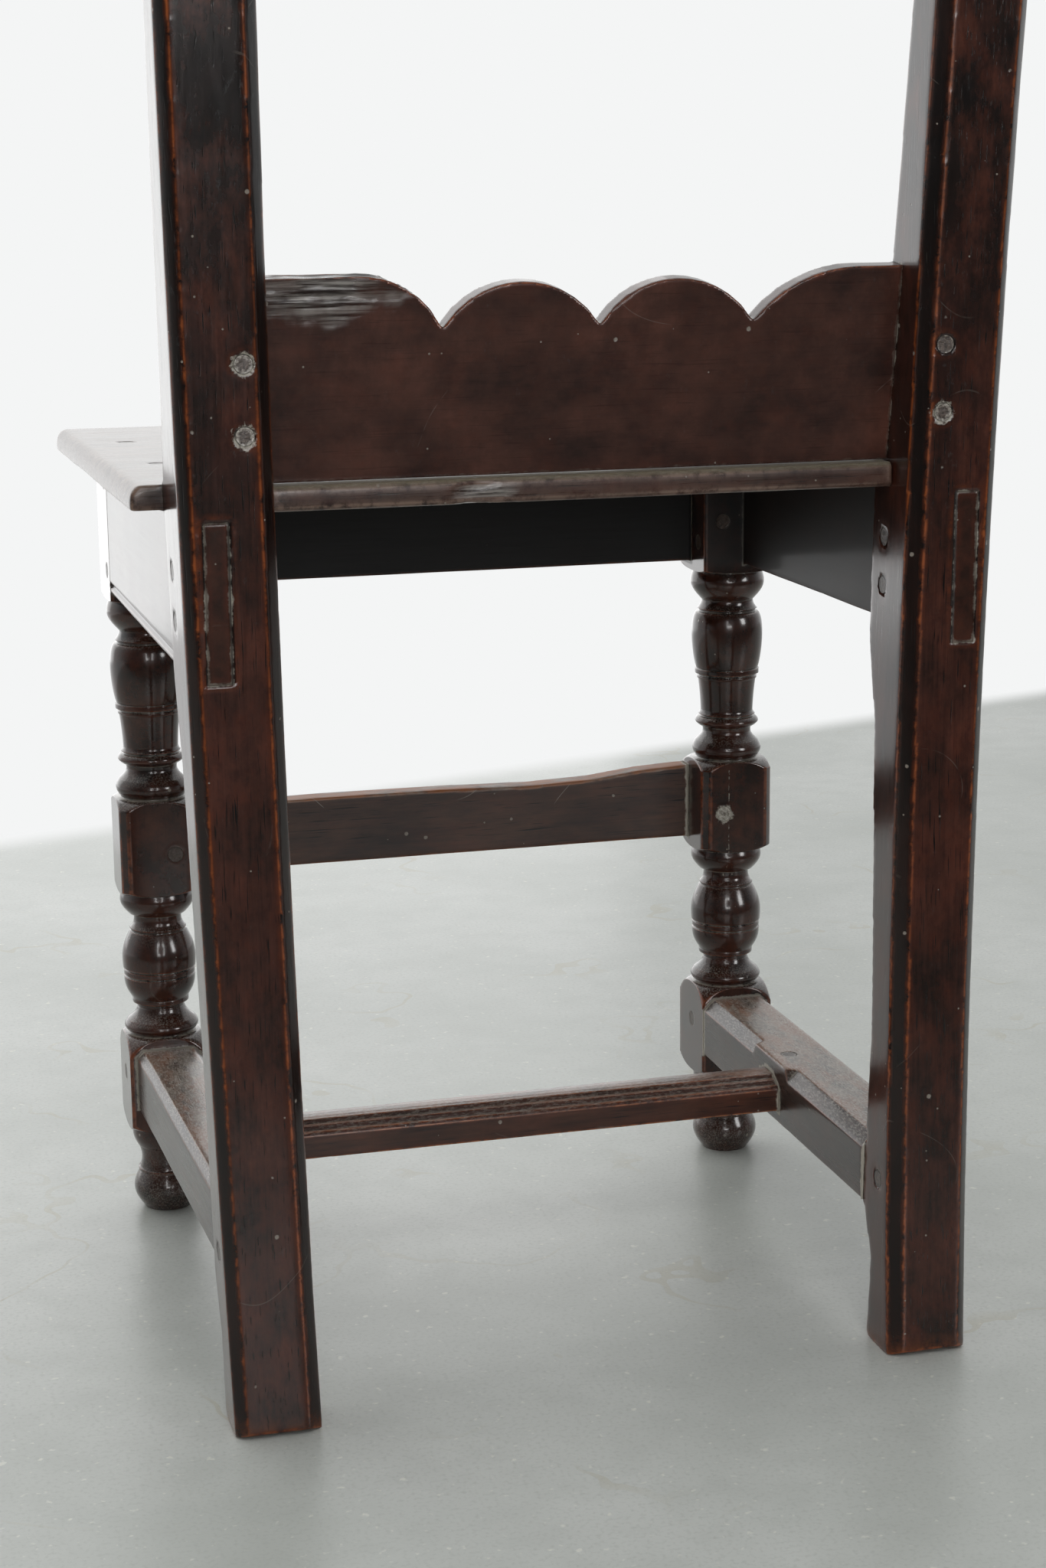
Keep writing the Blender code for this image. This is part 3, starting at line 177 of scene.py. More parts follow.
# Dried water marks: faint yellowish outlines that come and go
marks = add(tree, NOISE, {"Vector": spot, "Scale": 1 / 0.16, "Detail": 3.0})
marks = add(tree, MATH, marks, 0.56, 0.006, operation="COMPARE")
faint = add(tree, NOISE, {"Vector": spot, "Scale": 1 / 0.09, "Detail": 2.0})
grey, _ = lay(tree, grey, "#b3ac90", faint, 0.5, 0.65, 0.35, marks)
shader = tree.nodes["Principled BSDF"]
tree.links.new(grey.outputs[2], shader.inputs["Base Color"])
shader.inputs["Roughness"].default_value = 0.32
shader.inputs["IOR"].default_value = 1.38
floor_mesh.materials.append(concrete)
print("concrete with", len(tree.nodes), "nodes")

# %% [markdown]
# The white room beyond the floor could be a backdrop wall, but a wall would shade the floor. Instead the
# floor itself turns into the room's white past a line in front of the chair, with a soft edge, as seen by
# the camera and in reflections. On the other sides it fades with distance, for the camera alone. Behind
# the camera the room is dim, and the polished wood mirrors that, so there reflections see a darker floor.

# %% Where the floor turns white
WALL_WAY, WALL_AWAY = (0.301, -0.953, 0.0), 1.113    # the white room begins along this line in front
SOFT_EDGE = 0.035
FADE_START, FADE_END = 2.0, 2.8                      # distance from the chair on the other sides
DIM_FROM, DIM_TO, DIM_MOST = 0.45, 0.95, 0.8         # behind the chair, in reflections
ROOM_WHITE = linear("#f4f5f5")

past_wall = add(tree, VECTOR, spot, WALL_WAY, operation="DOT_PRODUCT").outputs["Value"]
wall = add(tree, RANGE, {"Value": past_wall, "From Min": WALL_AWAY - SOFT_EDGE,
                                        "From Max": WALL_AWAY + SOFT_EDGE}, interpolation_type="SMOOTHSTEP")
away = add(tree, VECTOR, spot, operation="LENGTH").outputs["Value"]
fade = add(tree, RANGE, {"Value": away, "From Min": FADE_START, "From Max": FADE_END},
           interpolation_type="SMOOTHSTEP")
path = add(tree, "ShaderNodeLightPath")
fade = add(tree, MATH, fade, path.outputs["Is Camera Ray"], operation="MULTIPLY")
seen = path.outputs["Is Camera Ray"]
for kind in ("Is Glossy Ray", "Is Transmission Ray"):
    seen = add(tree, MATH, seen, path.outputs[kind], operation="MAXIMUM")
wall = add(tree, MATH, wall, seen, operation="MULTIPLY")
white = add(tree, MATH, fade, wall, operation="MAXIMUM")
behind = add(tree, SPLIT, spot).outputs["Y"]
behind = add(tree, RANGE, {"Value": behind, "From Min": DIM_FROM, "From Max": DIM_TO, "To Max": DIM_MOST})
dim = add(tree, MATH, behind, path.outputs["Is Glossy Ray"], operation="MULTIPLY")
shade = add(tree, "ShaderNodeEmission", {"Color": linear("#1c1c1c"), "Strength": 1.0})
glow = add(tree, "ShaderNodeEmission", {"Color": ROOM_WHITE, "Strength": 1.0})
blend = add(tree, "ShaderNodeMixShader", dim, shader, shade)
blend = add(tree, "ShaderNodeMixShader", white, blend, glow)
tree.links.new(blend.outputs[0], tree.nodes["Material Output"].inputs["Surface"])
floor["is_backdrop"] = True
print("white beyond", WALL_AWAY, "m in front")

# %% World and lamps
FRONT_LIGHT, REAR_LIGHT = 1.05, 0.12     # brightness of the room in front of and behind the chair

world = bpy.data.worlds.new("white_room")
bpy.context.scene.world = world
world.use_nodes = True
tree = world.node_tree
direction = add(tree, "ShaderNodeTexCoord").outputs["Generated"]
ways = add(tree, SPLIT, direction)
facing = add(tree, RANGE, {"Value": ways.outputs["Y"], "From Min": -0.7, "From Max": 0.5,
                                          "To Min": FRONT_LIGHT, "To Max": REAR_LIGHT})
room = tree.nodes["Background"]
tree.links.new(facing.outputs[0], room.inputs["Strength"])
room.inputs["Color"].default_value = linear("#fdfeff")
backdrop = add(tree, "ShaderNodeBackground", {"Color": ROOM_WHITE, "Strength": 1.0})
path = add(tree, "ShaderNodeLightPath")
in_front = add(tree, RANGE, {"Value": ways.outputs["Y"], "From Min": 0.0, "From Max": -0.4})
mirrored = add(tree, MATH, path.outputs["Is Glossy Ray"], in_front, operation="MULTIPLY")
plain = add(tree, MATH, path.outputs["Is Camera Ray"], path.outputs["Is Transmission Ray"],
            operation="MAXIMUM")
plain = add(tree, MATH, plain, mirrored, operation="MAXIMUM")
seen = add(tree, "ShaderNodeMixShader", plain, room, backdrop)
tree.links.new(seen.outputs[0], tree.nodes["World Output"].inputs["Surface"])

# %% [markdown]
# A broad window lights the chair from the front, and soft light comes from behind, above and the left. The
# shine on the turnings could come from the same lamps, but then it would be far too wide on the flat wood,
# so two cards behind the camera are seen only in the polish, as a photographer's reflecting cards are.

# %% Lamps
# Place, target, width, height, watts, whether it lights, and whether the polish mirrors it
for name, place, target, width, height, watts, lights, mirrored in (
        ("window_front", (0.75, -2.2, 1.0), (0.75, 0.0, 1.0), 3.0, 2.0, 17.3, True, True),
        ("soft_rear", (0.22, 2.6, 1.15), (-0.1, 0.0, 0.3), 0.9, 0.9, 11.5, True, False),
        ("soft_above", (0.3, 1.6, 1.9), (0.0, 0.2, 0.0), 1.0, 1.0, 9.0, True, False),
        ("soft_left", (2.4, 1.75, 0.9), (-0.1, 0.0, 0.3), 0.4, 0.7, 0.8, True, False),
        ("card_rear", (0.22, 2.6, 1.15), (-0.1, 0.0, 0.3), 1.1, 1.2, 55.0, False, True),
        ("card_right", (-1.68, 1.83, 1.15), (-0.1, 0.0, 0.3), 0.6, 0.9, 18.0, False, True)):
    lamp_data = bpy.data.lights.new(name, "AREA")
    lamp_data.shape = "RECTANGLE"
    lamp_data.size, lamp_data.size_y, lamp_data.energy = width, height, watts
    lamp = bpy.data.objects.new(name, lamp_data)
    aim = (Vector(target) - Vector(place)).to_track_quat("-Z", "Y")
    lamp.matrix_world = Matrix.Translation(place) @ aim.to_matrix().to_4x4()
    lamp.visible_camera = False
    lamp.visible_diffuse, lamp.visible_glossy = lights, mirrored
    bpy.context.scene.collection.objects.link(lamp)
    print(name, watts, "W")

# %% [markdown]
# ## Hand wear
# Three centuries of hands, feet and polish round the arrises of an oak chair a little, dent them here and
# there, and leave the broad faces slightly wavy. A Bevel would round every edge alike, so a Geometry Nodes
# tree does it instead. It compares each point with a smoothed copy of the piece: a point that stands out
# from the copy is on an arris, and a point below it is in a hollow. After two rounds of smoothing that
# number shows the arris itself and is stored as "arris"; after many rounds it shows the rubbed strip beside
# it and is stored as "wear". Both are counted in grid cells. The distance to the nearest neighbouring piece,
# in millimetres, is stored as "joint", and that to the nearest peg with dust round it as "ring". Near a joint
# nothing is rubbed, and the joint is drawn shut, as wood that has been pegged tight. A weathered patch can be
# set on a piece too.

# %% Geometry Nodes tree for hand wear: its inputs
def new_tree(name, sockets):
    """Start a Geometry Nodes tree with a geometry input and output and the named inputs given."""
    tree = bpy.data.node_groups.new(name, "GeometryNodeTree")
    tree.interface.new_socket("Geometry", in_out="INPUT", socket_type="NodeSocketGeometry")
    tree.interface.new_socket("Geometry", in_out="OUTPUT", socket_type="NodeSocketGeometry")
    for label, kind in sockets:
        tree.interface.new_socket(label, in_out="INPUT", socket_type="NodeSocket" + kind)
    return tree, tree.nodes.new("NodeGroupInput"), tree.nodes.new("NodeGroupOutput")


wear_tree, given, result = new_tree("hand_wear", (
    ("Others", "Object"), ("Members", "Object"), ("Dusty Pegs", "Object"), ("Cell", "Float"),
    ("Rounds", "Int"), ("Rounding", "Float"), ("Dents", "Float"), ("Wave", "Float"), ("Seed", "Vector"),
    ("Patch Centre", "Vector"), ("Patch Reach", "Vector"), ("Patch Depth", "Float"), ("Patch Grain", "Vector"),
    ("Material", "Material")))
tree = wear_tree
here = add(tree, "GeometryNodeInputPosition")
outward = add(tree, "GeometryNodeInputNormal")
shape = given.outputs["Geometry"]

print("hand wear takes", len(wear_tree.interface.items_tree) - 2, "inputs")

# %% How near the next piece is
others = add(tree, "GeometryNodeObjectInfo", {"Object": given.outputs["Others"]}).outputs["Geometry"]
nearest = add(tree, "GeometryNodeProximity", {"Geometry": others}, target_element="FACES")
touch = add(tree, MATH, nearest.outputs["Distance"], 1 / MM, operation="MULTIPLY")
free = add(tree, RANGE, {"Value": touch, "From Min": 0.6, "From Max": 2.5}, interpolation_type="SMOOTHSTEP")
for label, source in (("joint", "Members"), ("ring", "Dusty Pegs")):
    solids = add(tree, "GeometryNodeObjectInfo", {"Object": given.outputs[source]}).outputs["Geometry"]
    gap = add(tree, "GeometryNodeProximity", {"Geometry": solids}, target_element="FACES").outputs["Distance"]
    gap = add(tree, MATH, gap, 1 / MM, operation="MULTIPLY")
    shape = add(tree, "GeometryNodeStoreNamedAttribute", {"Geometry": shape, "Name": label, "Value": gap},
                data_type="FLOAT", domain="POINT")
print("distances to", [socket.name for socket in given.outputs][1:4])

# %% How far a point stands out, after a few and after many rounds of smoothing
for label, rounds in (("arris", 2), ("wear", 14)):
    soft = add(tree, "GeometryNodeBlurAttribute", {"Value": here, "Iterations": rounds},
               data_type="FLOAT_VECTOR")
    stand = add(tree, VECTOR, here, soft, operation="SUBTRACT")
    stand = add(tree, VECTOR, stand, outward, operation="DOT_PRODUCT").outputs["Value"]
    stand = add(tree, MATH, stand, given.outputs["Cell"], operation="DIVIDE")
    proud = add(tree, MATH, stand, 0.0, operation="MAXIMUM")
    sunk = add(tree, MATH, stand, 0.0, operation="MINIMUM")
    stand = add(tree, MATH, proud, free, sunk, operation="MULTIPLY_ADD")
    shape = add(tree, "GeometryNodeStoreNamedAttribute", {"Geometry": shape, "Name": label, "Value": stand},
                data_type="FLOAT", domain="POINT")
    if label == "arris":
        on_arris = add(tree, RANGE, {"Value": stand, "From Min": 0.12, "From Max": 0.3})

print("arris and wear stored")

# %% A weathered patch with ragged edges, split along the grain
seeded = add(tree, VECTOR, here, given.outputs["Seed"], operation="ADD")
from_patch = add(tree, VECTOR, here, given.outputs["Patch Centre"], operation="SUBTRACT")
from_patch = add(tree, VECTOR, from_patch, given.outputs["Patch Reach"], operation="DIVIDE")
from_patch = add(tree, VECTOR, from_patch, operation="LENGTH").outputs["Value"]
ragged = add(tree, NOISE, {"Vector": seeded, "Scale": 1 / 0.012, "Detail": 3.0})
edge = add(tree, MATH, from_patch, ragged, operation="ADD")
bare = add(tree, RANGE, {"Value": edge, "From Min": 1.5, "From Max": 1.0})
splits = add(tree, VECTOR, seeded, given.outputs["Patch Grain"], operation="MULTIPLY")
splits = add(tree, NOISE, {"Vector": splits, "Scale": 1.0, "Detail": 3.0})
splits = add(tree, RANGE, {"Value": splits, "From Min": 0.62, "From Max": 0.40})
patch_cut = add(tree, MATH, bare, splits, operation="MULTIPLY")
patch_cut = add(tree, MATH, patch_cut, given.outputs["Patch Depth"], operation="MULTIPLY")
shape = add(tree, "GeometryNodeStoreNamedAttribute", {"Geometry": shape, "Name": "bare", "Value": bare},
            data_type="FLOAT", domain="POINT")
print("patch drawn")

# %% Rub the arrises towards a smoothed copy, more in some places than in others
rub = add(tree, NOISE, {"Vector": seeded, "Scale": 1 / 0.07, "Detail": 2.0})
rub = add(tree, RANGE, {"Value": rub, "From Min": 0.35, "From Max": 0.65, "To Min": 0.6, "To Max": 1.0})
rub = add(tree, MATH, rub, given.outputs["Rounding"], operation="MULTIPLY")
rub = add(tree, MATH, rub, free, operation="MULTIPLY")
smooth = add(tree, "GeometryNodeBlurAttribute", {"Value": here, "Iterations": given.outputs["Rounds"]},
             data_type="FLOAT_VECTOR")
rounded = add(tree, MIX, {"Factor": rub, "A": here, "B": smooth}, data_type="VECTOR")
print("arrises rubbed in stretches of 70 mm")

# %% Sink the dents, the waves of the hand plane and the patch
bites = add(tree, NOISE, {"Vector": seeded, "Scale": 1 / 0.016, "Detail": 2.0})
bites = add(tree, RANGE, {"Value": bites, "From Min": 0.6, "From Max": 0.78})
bites = add(tree, MATH, bites, on_arris, operation="MULTIPLY")
bites = add(tree, MATH, bites, given.outputs["Dents"], operation="MULTIPLY")
waves = add(tree, NOISE, {"Vector": seeded, "Scale": 1 / 0.06, "Detail": 1.0})
waves = add(tree, MATH, waves, given.outputs["Wave"], operation="MULTIPLY")
sink = add(tree, MATH, bites, waves, operation="ADD")
sink = add(tree, MATH, sink, patch_cut, operation="ADD")
sink = add(tree, MATH, sink, free, operation="MULTIPLY")
sink = add(tree, MATH, sink, -1.0, operation="MULTIPLY")
inward = add(tree, VECTOR, {0: outward, "Scale": sink}, operation="SCALE")

print("dents, waves and patch sink in")

# %% Draw the joints shut: each side goes a little less than halfway
closing = add(tree, RANGE, {"Value": touch, "From Min": 1.0, "From Max": 0.45, "To Max": 0.45})
across = add(tree, VECTOR, nearest.outputs["Position"], here, operation="SUBTRACT")
across = add(tree, VECTOR, {0: across, "Scale": closing}, operation="SCALE")
moved = add(tree, VECTOR, inward, across, operation="ADD")

shape = add(tree, "GeometryNodeSetPosition",
            {"Geometry": shape, "Position": rounded.outputs[1], "Offset": moved})
shape = add(tree, "GeometryNodeSetShadeSmooth", {"Geometry": shape})
shape = add(tree, "GeometryNodeRealizeInstances", {"Geometry": shape})
shape = add(tree, "GeometryNodeSetMaterial", {"Geometry": shape, "Material": given.outputs["Material"]})
tree.links.new(shape.outputs[0], result.inputs[0])
print("hand wear tree with", len(tree.nodes), "nodes")

# %% [markdown]
# ## From a solid to a fine mesh
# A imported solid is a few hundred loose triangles, too long and thin to be worn. A copy is merged into
# one closed skin, and the Remesh modifier in its sharp mode lays an even grid of small squares over it
# that still follows every arris. Voxel remeshing would do it too, but it melts the arrises. Then the wear
# tree runs, and the result is baked into a plain mesh whose object sits at the origin.

# %% Copies, grids and baking
def merged_copy(names, label):
    """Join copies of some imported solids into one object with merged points."""
    shape = bmesh.new()
    for name in names:
        shape.from_mesh(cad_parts[name].data)
    bmesh.ops.remove_doubles(shape, verts=shape.verts, dist=0.001 * MM)
    mesh = bpy.data.meshes.new(label)
    shape.to_mesh(mesh)
    shape.free()
    mesh.materials.clear()
    copy = bpy.data.objects.new(label, mesh)
    bpy.context.scene.collection.objects.link(copy)
    return copy


def set_inputs(piece, tree, values):
    """Put a tree on a piece and set its inputs by their identifiers."""
    modifier = piece.modifiers.new(tree.name, "NODES")
    modifier.node_group = tree
    for socket in tree.interface.items_tree:
        if socket.in_out == "INPUT" and socket.name in values:
            modifier[socket.identifier] = values[socket.name]
    return modifier


def bake(piece):
    """Replace a piece's mesh by what its modifiers make, and remove them."""
    bpy.context.view_layer.update()
    seen = piece.evaluated_get(bpy.context.evaluated_depsgraph_get())
    mesh = bpy.data.meshes.new_from_object(seen)
    mesh.name = piece.name
    piece.modifiers.clear()
    piece.data = mesh
    return piece


def straight_turn(piece):
    """Turn that lays a piece's longest arris along the nearest axis, so that a grid runs with it."""
    shape = bmesh.new()
    shape.from_mesh(piece.data)
    sharp = [edge for edge in shape.edges if edge.calc_face_angle(0.0) > 0.3]
    longest = max(sharp, key=lambda edge: edge.calc_length())
    way = (longest.verts[1].co - longest.verts[0].co).normalized()
    shape.free()
    axis = max(range(3), key=lambda i: abs(way[i]))
    nearest = Vector([math.copysign(1.0, way[i]) if i == axis else 0.0 for i in range(3)])
    return way.rotation_difference(nearest).to_matrix().to_4x4()


def lay_grid(piece, cell):
    """Lay an even grid of squares over a piece, with its arrises kept."""
    turn = straight_turn(piece)
    piece.data.transform(turn)
    places = np.array([vertex.co for vertex in piece.data.vertices])
    longest = float(max(places.max(axis=0) - places.min(axis=0)))
    remesh = piece.modifiers.new("grid", "REMESH")
    remesh.mode = "SHARP"
    remesh.use_remove_disconnected = False
    remesh.octree_depth = max(6, math.ceil(math.log2(longest / (cell * 0.98))))
    remesh.scale = longest / (cell * 2 ** remesh.octree_depth)
    bake(piece)
    piece.data.transform(turn.inverted())


def count(piece):
    """Number of triangles in a piece."""
    return sum(len(face.vertices) - 2 for face in piece.data.polygons)


DETAIL = 1.0      # a coarser grid for quick tries
FAR_AWAY = (0.0, 0.0, -9.0)
print("grid factor", DETAIL)

# %% [markdown]
# ## Waxed oak, one layer at a time
# The wood is oak, stained nearly black and waxed for centuries. One flat brown would look like plastic, so
# the finish is built up in layers, as it was on the chair, and each layer is a short function that adds its
# nodes to the tree. All of it is drawn with noise on Object coordinates in millimetres and with the values
# that the wear tree stored, so nothing has to be unwrapped. The figure of the wood comes first. Grain is
# noise drawn out along one axis, so one recipe serves upright, crosswise and lengthwise pieces. Red-brown
# and black mottles lie over it, and the open pores are drawn 0.8 mm wide so that they show.

# %% Figure of the wood
GRAIN_UPRIGHT = (1.0, 1.0, 0.035)
GRAIN_ACROSS = (0.035, 1.0, 1.0)
GRAIN_LENGTH = (1.0, 0.035, 1.0)
# Mottles: place in the noise, size in mm, where they start and end, strength, colour
MOTTLES = ((31.0, 12.0, 0.48, 0.68, 0.7, "#5e2b1b"), (57.0, 9.0, 0.50, 0.68, 0.7, "#0f0b0a"))


def figure(tree, mm, look):
    """Clouds, grain lines, mottles and pores. Gives colour, lines, pores and the drawn-out place."""
    along = add(tree, "ShaderNodeMapping", {"Vector": mm, "Scale": look["grain"]})
    drawn = add(tree, "ShaderNodeMapping",
                {"Vector": mm, "Scale": [min(1.0, share * look["draw"]) for share in look["grain"]]})
    lines = add(tree, NOISE, {"Vector": along, "Scale": 1 / 1.8, "Detail": 4.0, "Roughness": 0.65})
    clouds = add(tree, NOISE, {"Vector": drawn, "Scale": 1 / 24, "Detail": 5.0, "Roughness": 0.6})
    lines = add(tree, RANGE, {"Value": lines, "To Min": 0.5 - look["grainy"] / 2,
                                             "To Max": 0.5 + look["grainy"] / 2})
    tone = add(tree, MATH, clouds, 2.6, lines, operation="MULTIPLY_ADD")
    colour, _ = lay(tree, linear(look["deep"]), look["warm"], tone, 1.35, 2.25)
    for far, size, start, end, strength, paint in MOTTLES:
        place = add(tree, "ShaderNodeMapping", {"Vector": drawn, "Location": (far, far * 0.7, far * 0.4)})
        cloud = add(tree, NOISE, {"Vector": place, "Scale": 1 / size, "Detail": 6.0, "Roughness": 0.7})
        colour, _ = lay(tree, colour, paint, cloud, start, end, strength * look["mottle"])
    pores = add(tree, NOISE, {"Vector": along, "Scale": 1 / 0.8, "Detail": 1.0})
    colour, pores = lay(tree, colour, "#0d0807", pores, 0.36, 0.26, look["grainy"])
    return colour, lines, pores, drawn


print(len(MOTTLES), "kinds of mottle")

# %% [markdown]
# ### Old wax and painted shade
# Clouds of blue-black are let in more and more with height, with thin pale scuffs where something has rubbed
# against them. They are partly the colour of old wax and partly painted shade, which makes the upper back
# darker than the lower parts. A Color Ramp over the height would look like a stripe, so clouds of noise are
# used. The chamfer faces are painted nearly black, as painted shade where little light falls. A chamfer is
# found by its normal, which looks halfway between two axes.

# %% Old wax and painted shade
WAX_SHADE_FROM, WAX_SHADE_TO = 350.0, 620.0          # heights in mm between which the wax and the painted shade darken


def wax_and_painted_shade(tree, mm, colour, look):
    """Blue-black wax and painted shade in clouds of 26 mm, with pale scuffs, more of both higher up; painted
    shade on the chamfer faces.
    """
    height = add(tree, SPLIT, mm).outputs["Z"]
    reach = add(tree, RANGE, {"Value": height, "From Min": WAX_SHADE_FROM, "From Max": WAX_SHADE_TO, "To Min": 0.25})
    place = add(tree, "ShaderNodeMapping", {"Vector": mm, "Location": (83.0, 58.0, 33.0), "Scale": (1, 1, 0.5)})
    wax = add(tree, NOISE, {"Vector": place, "Scale": 1 / 26, "Detail": 5.0, "Roughness": 0.7})
    # painted shade: blue-black clouds, let in more with height, darken the upper parts
    colour, wax = lay(tree, colour, "#100f0f", wax, 0.36, 0.54, look["blue"], reach)
    scuff = add(tree, NOISE, {"Vector": place, "Scale": 1 / 4.5, "Detail": 4.0, "Roughness": 0.75})
    # painted shade: chamfer faces, whose normal looks halfway between two axes, are darkened nearly black
    normal = add(tree, "ShaderNodeNewGeometry").outputs["Normal"]
    normal = add(tree, VECTOR, normal, operation="ABSOLUTE")
    normal = add(tree, SPLIT, normal)
    chamfer_shade = add(tree, MATH, normal.outputs["X"], normal.outputs["Y"], operation="MULTIPLY")
    low, high = look["chamfers"]
    chamfer_shade_band = add(tree, MATH, height, (low + high) / 2, (high - low) / 2, operation="COMPARE")
    colour, _ = lay(tree, colour, "#0d0908", chamfer_shade, 0.25, 0.40, 0.8, chamfer_shade_band)
    return lay(tree, colour, "#5f6365", scuff, 0.62, 0.74, 0.4, wax)[0]


print("wax darkens from", WAX_SHADE_FROM, "to", WAX_SHADE_TO, "mm up")

# %% [markdown]
# ### Rubbed arrises
# Every arris is rubbed through the stain to rust-coloured wood. An even line would look printed, so the
# "wear" value gives a dull red-brown strip and the "arris" value a thin bright line in it, both broken up
# by patches of 7 mm that fade out over stretches of 70 mm. The feet of the posts are kicked brown.

# %% Rubbed arrises
KICKED_FROM, KICKED_TO = 12.0, 2.0       # heights in mm of the kicked band on the feet


def rub_arrises(tree, mm, colour, look):
    """A dull strip and a thin bright line along each arris. Gives the colour, the wear and the patches."""
    wear = add(tree, "ShaderNodeAttribute", attribute_name="wear").outputs["Fac"]
    arris = add(tree, "ShaderNodeAttribute", attribute_name="arris").outputs["Fac"]
    patches = add(tree, NOISE, {"Vector": mm, "Scale": 1 / 7, "Detail": 4.0, "Roughness": 0.7})
    stretch = add(tree, NOISE, {"Vector": mm, "Scale": 1 / 70, "Detail": 2.0})
    stretch = add(tree, RANGE, {"Value": stretch, "From Min": 0.36, "From Max": 0.58, "To Min": 0.4})
    ragged = add(tree, RANGE, {"Value": patches, "From Min": 0.36, "From Max": 0.56})
    ragged = add(tree, MATH, ragged, stretch, operation="MULTIPLY")
    height = add(tree, SPLIT, mm).outputs["Z"]
    for stand, start, end, most, paint in ((wear, 0.12, 0.55, 0.9, look["worn"]),
                                           (height, KICKED_FROM, KICKED_TO, look["foot"], "#6f3d20"),
                                           (arris, 0.08, 0.24, 1.0, look["rubbed"])):
        colour, _ = lay(tree, colour, paint, stand, start, end, most, ragged)
    return colour, wear, patches


print("arrises rubbed in patches of 7 mm")

# %% [markdown]
# ### Black hollows, dust and painted sheen
# Wax gathers black in hollows. Feet wear the tops of the stretchers to light brown and rust, and dust lies as
# fine specks on whatever faces up, thickest in the hollows and on the strip of seat behind the back rail. On
# level tops the light brown and the pale specks are also painted sheen, where light shines off the wax. The
# surface's normal tells which way it faces, so the dust follows the shape without being painted on.

# %% Hollows, dust and painted sheen
LOW_FROM, LOW_TO = 45.0, 15.0            # heights in mm of the dust that splashes up on the feet


def settle_dust_and_sheen(tree, mm, drawn, colour, wear, patches, look):
    """Black hollows, trodden tops and specks of dust, which on level faces are partly painted sheen. Gives the
    colour and the amount of dust and sheen.
    """
    normal = add(tree, "ShaderNodeNewGeometry").outputs["Normal"]
    upward = add(tree, SPLIT, normal).outputs["Z"]
    lying = add(tree, RANGE, {"Value": upward, "From Min": 0.3, "From Max": 0.95})
    colour, hollow = lay(tree, colour, "#0b0706", wear, -0.12, -0.6, 0.9)
    tan_and_sheen = add(tree, NOISE, {"Vector": drawn, "Scale": 1 / 6, "Detail": 5.0, "Roughness": 0.7})
    treads = add(tree, NOISE, {"Vector": drawn, "Scale": 1 / 14, "Detail": 5.0, "Roughness": 0.65})
    dust_and_sheen_grains = add(tree, NOISE, {"Vector": drawn, "Scale": 1 / 1.0, "Detail": 3.0, "Roughness": 0.7})
    place = add(tree, SPLIT, mm)
    low = add(tree, RANGE, {"Value": place.outputs["Z"], "From Min": LOW_FROM, "From Max": LOW_TO,
                                           "To Max": 0.6})
    lying = add(tree, MATH, lying, low, operation="MAXIMUM")
    cling = add(tree, MATH, lying, look["clings"], operation="MAXIMUM")
    top = add(tree, RANGE, {"Value": upward, "From Min": look["level"] - 0.1, "From Max": look["level"]})
    clumps = add(tree, RANGE, {"Value": patches, "From Min": 0.35, "From Max": 0.6})
    thick = add(tree, MATH, hollow, clumps, operation="MULTIPLY")
    dust = 0.0
    # painted sheen: on faces that look up, the light-brown tops and the pale specks stand partly for sheen,
    # besides wear and dust
    for cloud, where, start, end, most, paint in (
            (tan_and_sheen, top, 0.35, 0.60, look["trodden"], "#968779"),
            (treads, top, 0.42, 0.56, look["trodden"], look["rubbed"]),
            (place.outputs["Y"], lying, look["strip"], look["strip"] + 3.0, 0.75, "#7d7863"),
            (dust_and_sheen_grains, lying, 0.46, 0.66, look["dusty"], "#b9b4aa"),
            (thick, cling, 0.1, 0.6, look["clogged"], "#a39a8c")):
        colour, share = lay(tree, colour, paint, cloud, start, end, most, where)
        if where is not top:
            dust = add(tree, MATH, share, dust, operation="MAXIMUM")
    return colour, dust


print("dust lies where a face looks up")

# %% [markdown]
# ### Joints, nicks and scratches
# A joint that has moved a little fills with dust, which shows as a broken cream line, and some pegs have a
# pale ring. One leg has a fine crack through a peg hole, which is a wavering line at one place across.
# Specks and nicks sit in a few of the cells of a Voronoi pattern, 6 and 13 mm wide, and long scratches are
# contour lines of smooth noise, which never fork as the edges of Voronoi cells do.

# %% Joints, nicks and scratches
CRACK_LEVEL, CRACK_HALF, CRACK_WIDE = 211.0, 34.0, 0.3     # middle, half length and half width in mm


def fill_joints(tree, mm, colour, look):
    """Cream dust along the joints, round some pegs and in a crack. Gives the colour and the dust."""
    seam = 0.0
    for label, size, part, start, end, most in (
            ("joint", 7, -4.5, look["reach"] - 1.0, look["reach"] - 1.8, look["seam"]),
            ("ring", 3, -8.0, -2.4, -3.6, 0.85)):
        near = add(tree, "ShaderNodeAttribute", attribute_name=label).outputs["Fac"]
        clumps = add(tree, NOISE, {"Vector": mm, "Scale": 1 / size, "Detail": 4.0, "Roughness": 0.7})
        near = add(tree, MATH, clumps, part, near, operation="MULTIPLY_ADD")
        near = add(tree, RANGE, {"Value": near, "From Min": start, "From Max": end, "To Max": most})
        seam = add(tree, MATH, near, seam, operation="MAXIMUM")
    place = add(tree, SPLIT, mm)
    line = add(tree, MATH, clumps, 1.2, place.outputs["X"], operation="MULTIPLY_ADD")
    line = add(tree, MATH, line, look["crack"], CRACK_WIDE, operation="COMPARE")
    within = add(tree, MATH, place.outputs["Z"], CRACK_LEVEL, CRACK_HALF, operation="COMPARE")
    line = add(tree, MATH, line, within, operation="MULTIPLY")
    broken = add(tree, RANGE, {"Value": clumps, "From Min": 0.5, "From Max": 0.62, "To Max": 0.8})
    line = add(tree, MATH, line, broken, operation="MULTIPLY")
    seam = add(tree, MATH, line, seam, operation="MAXIMUM")
    colour = add(tree, MIX, {"Factor": seam, "A": colour, "B": linear("#b5afa2")}, data_type="RGBA")
    return colour, seam


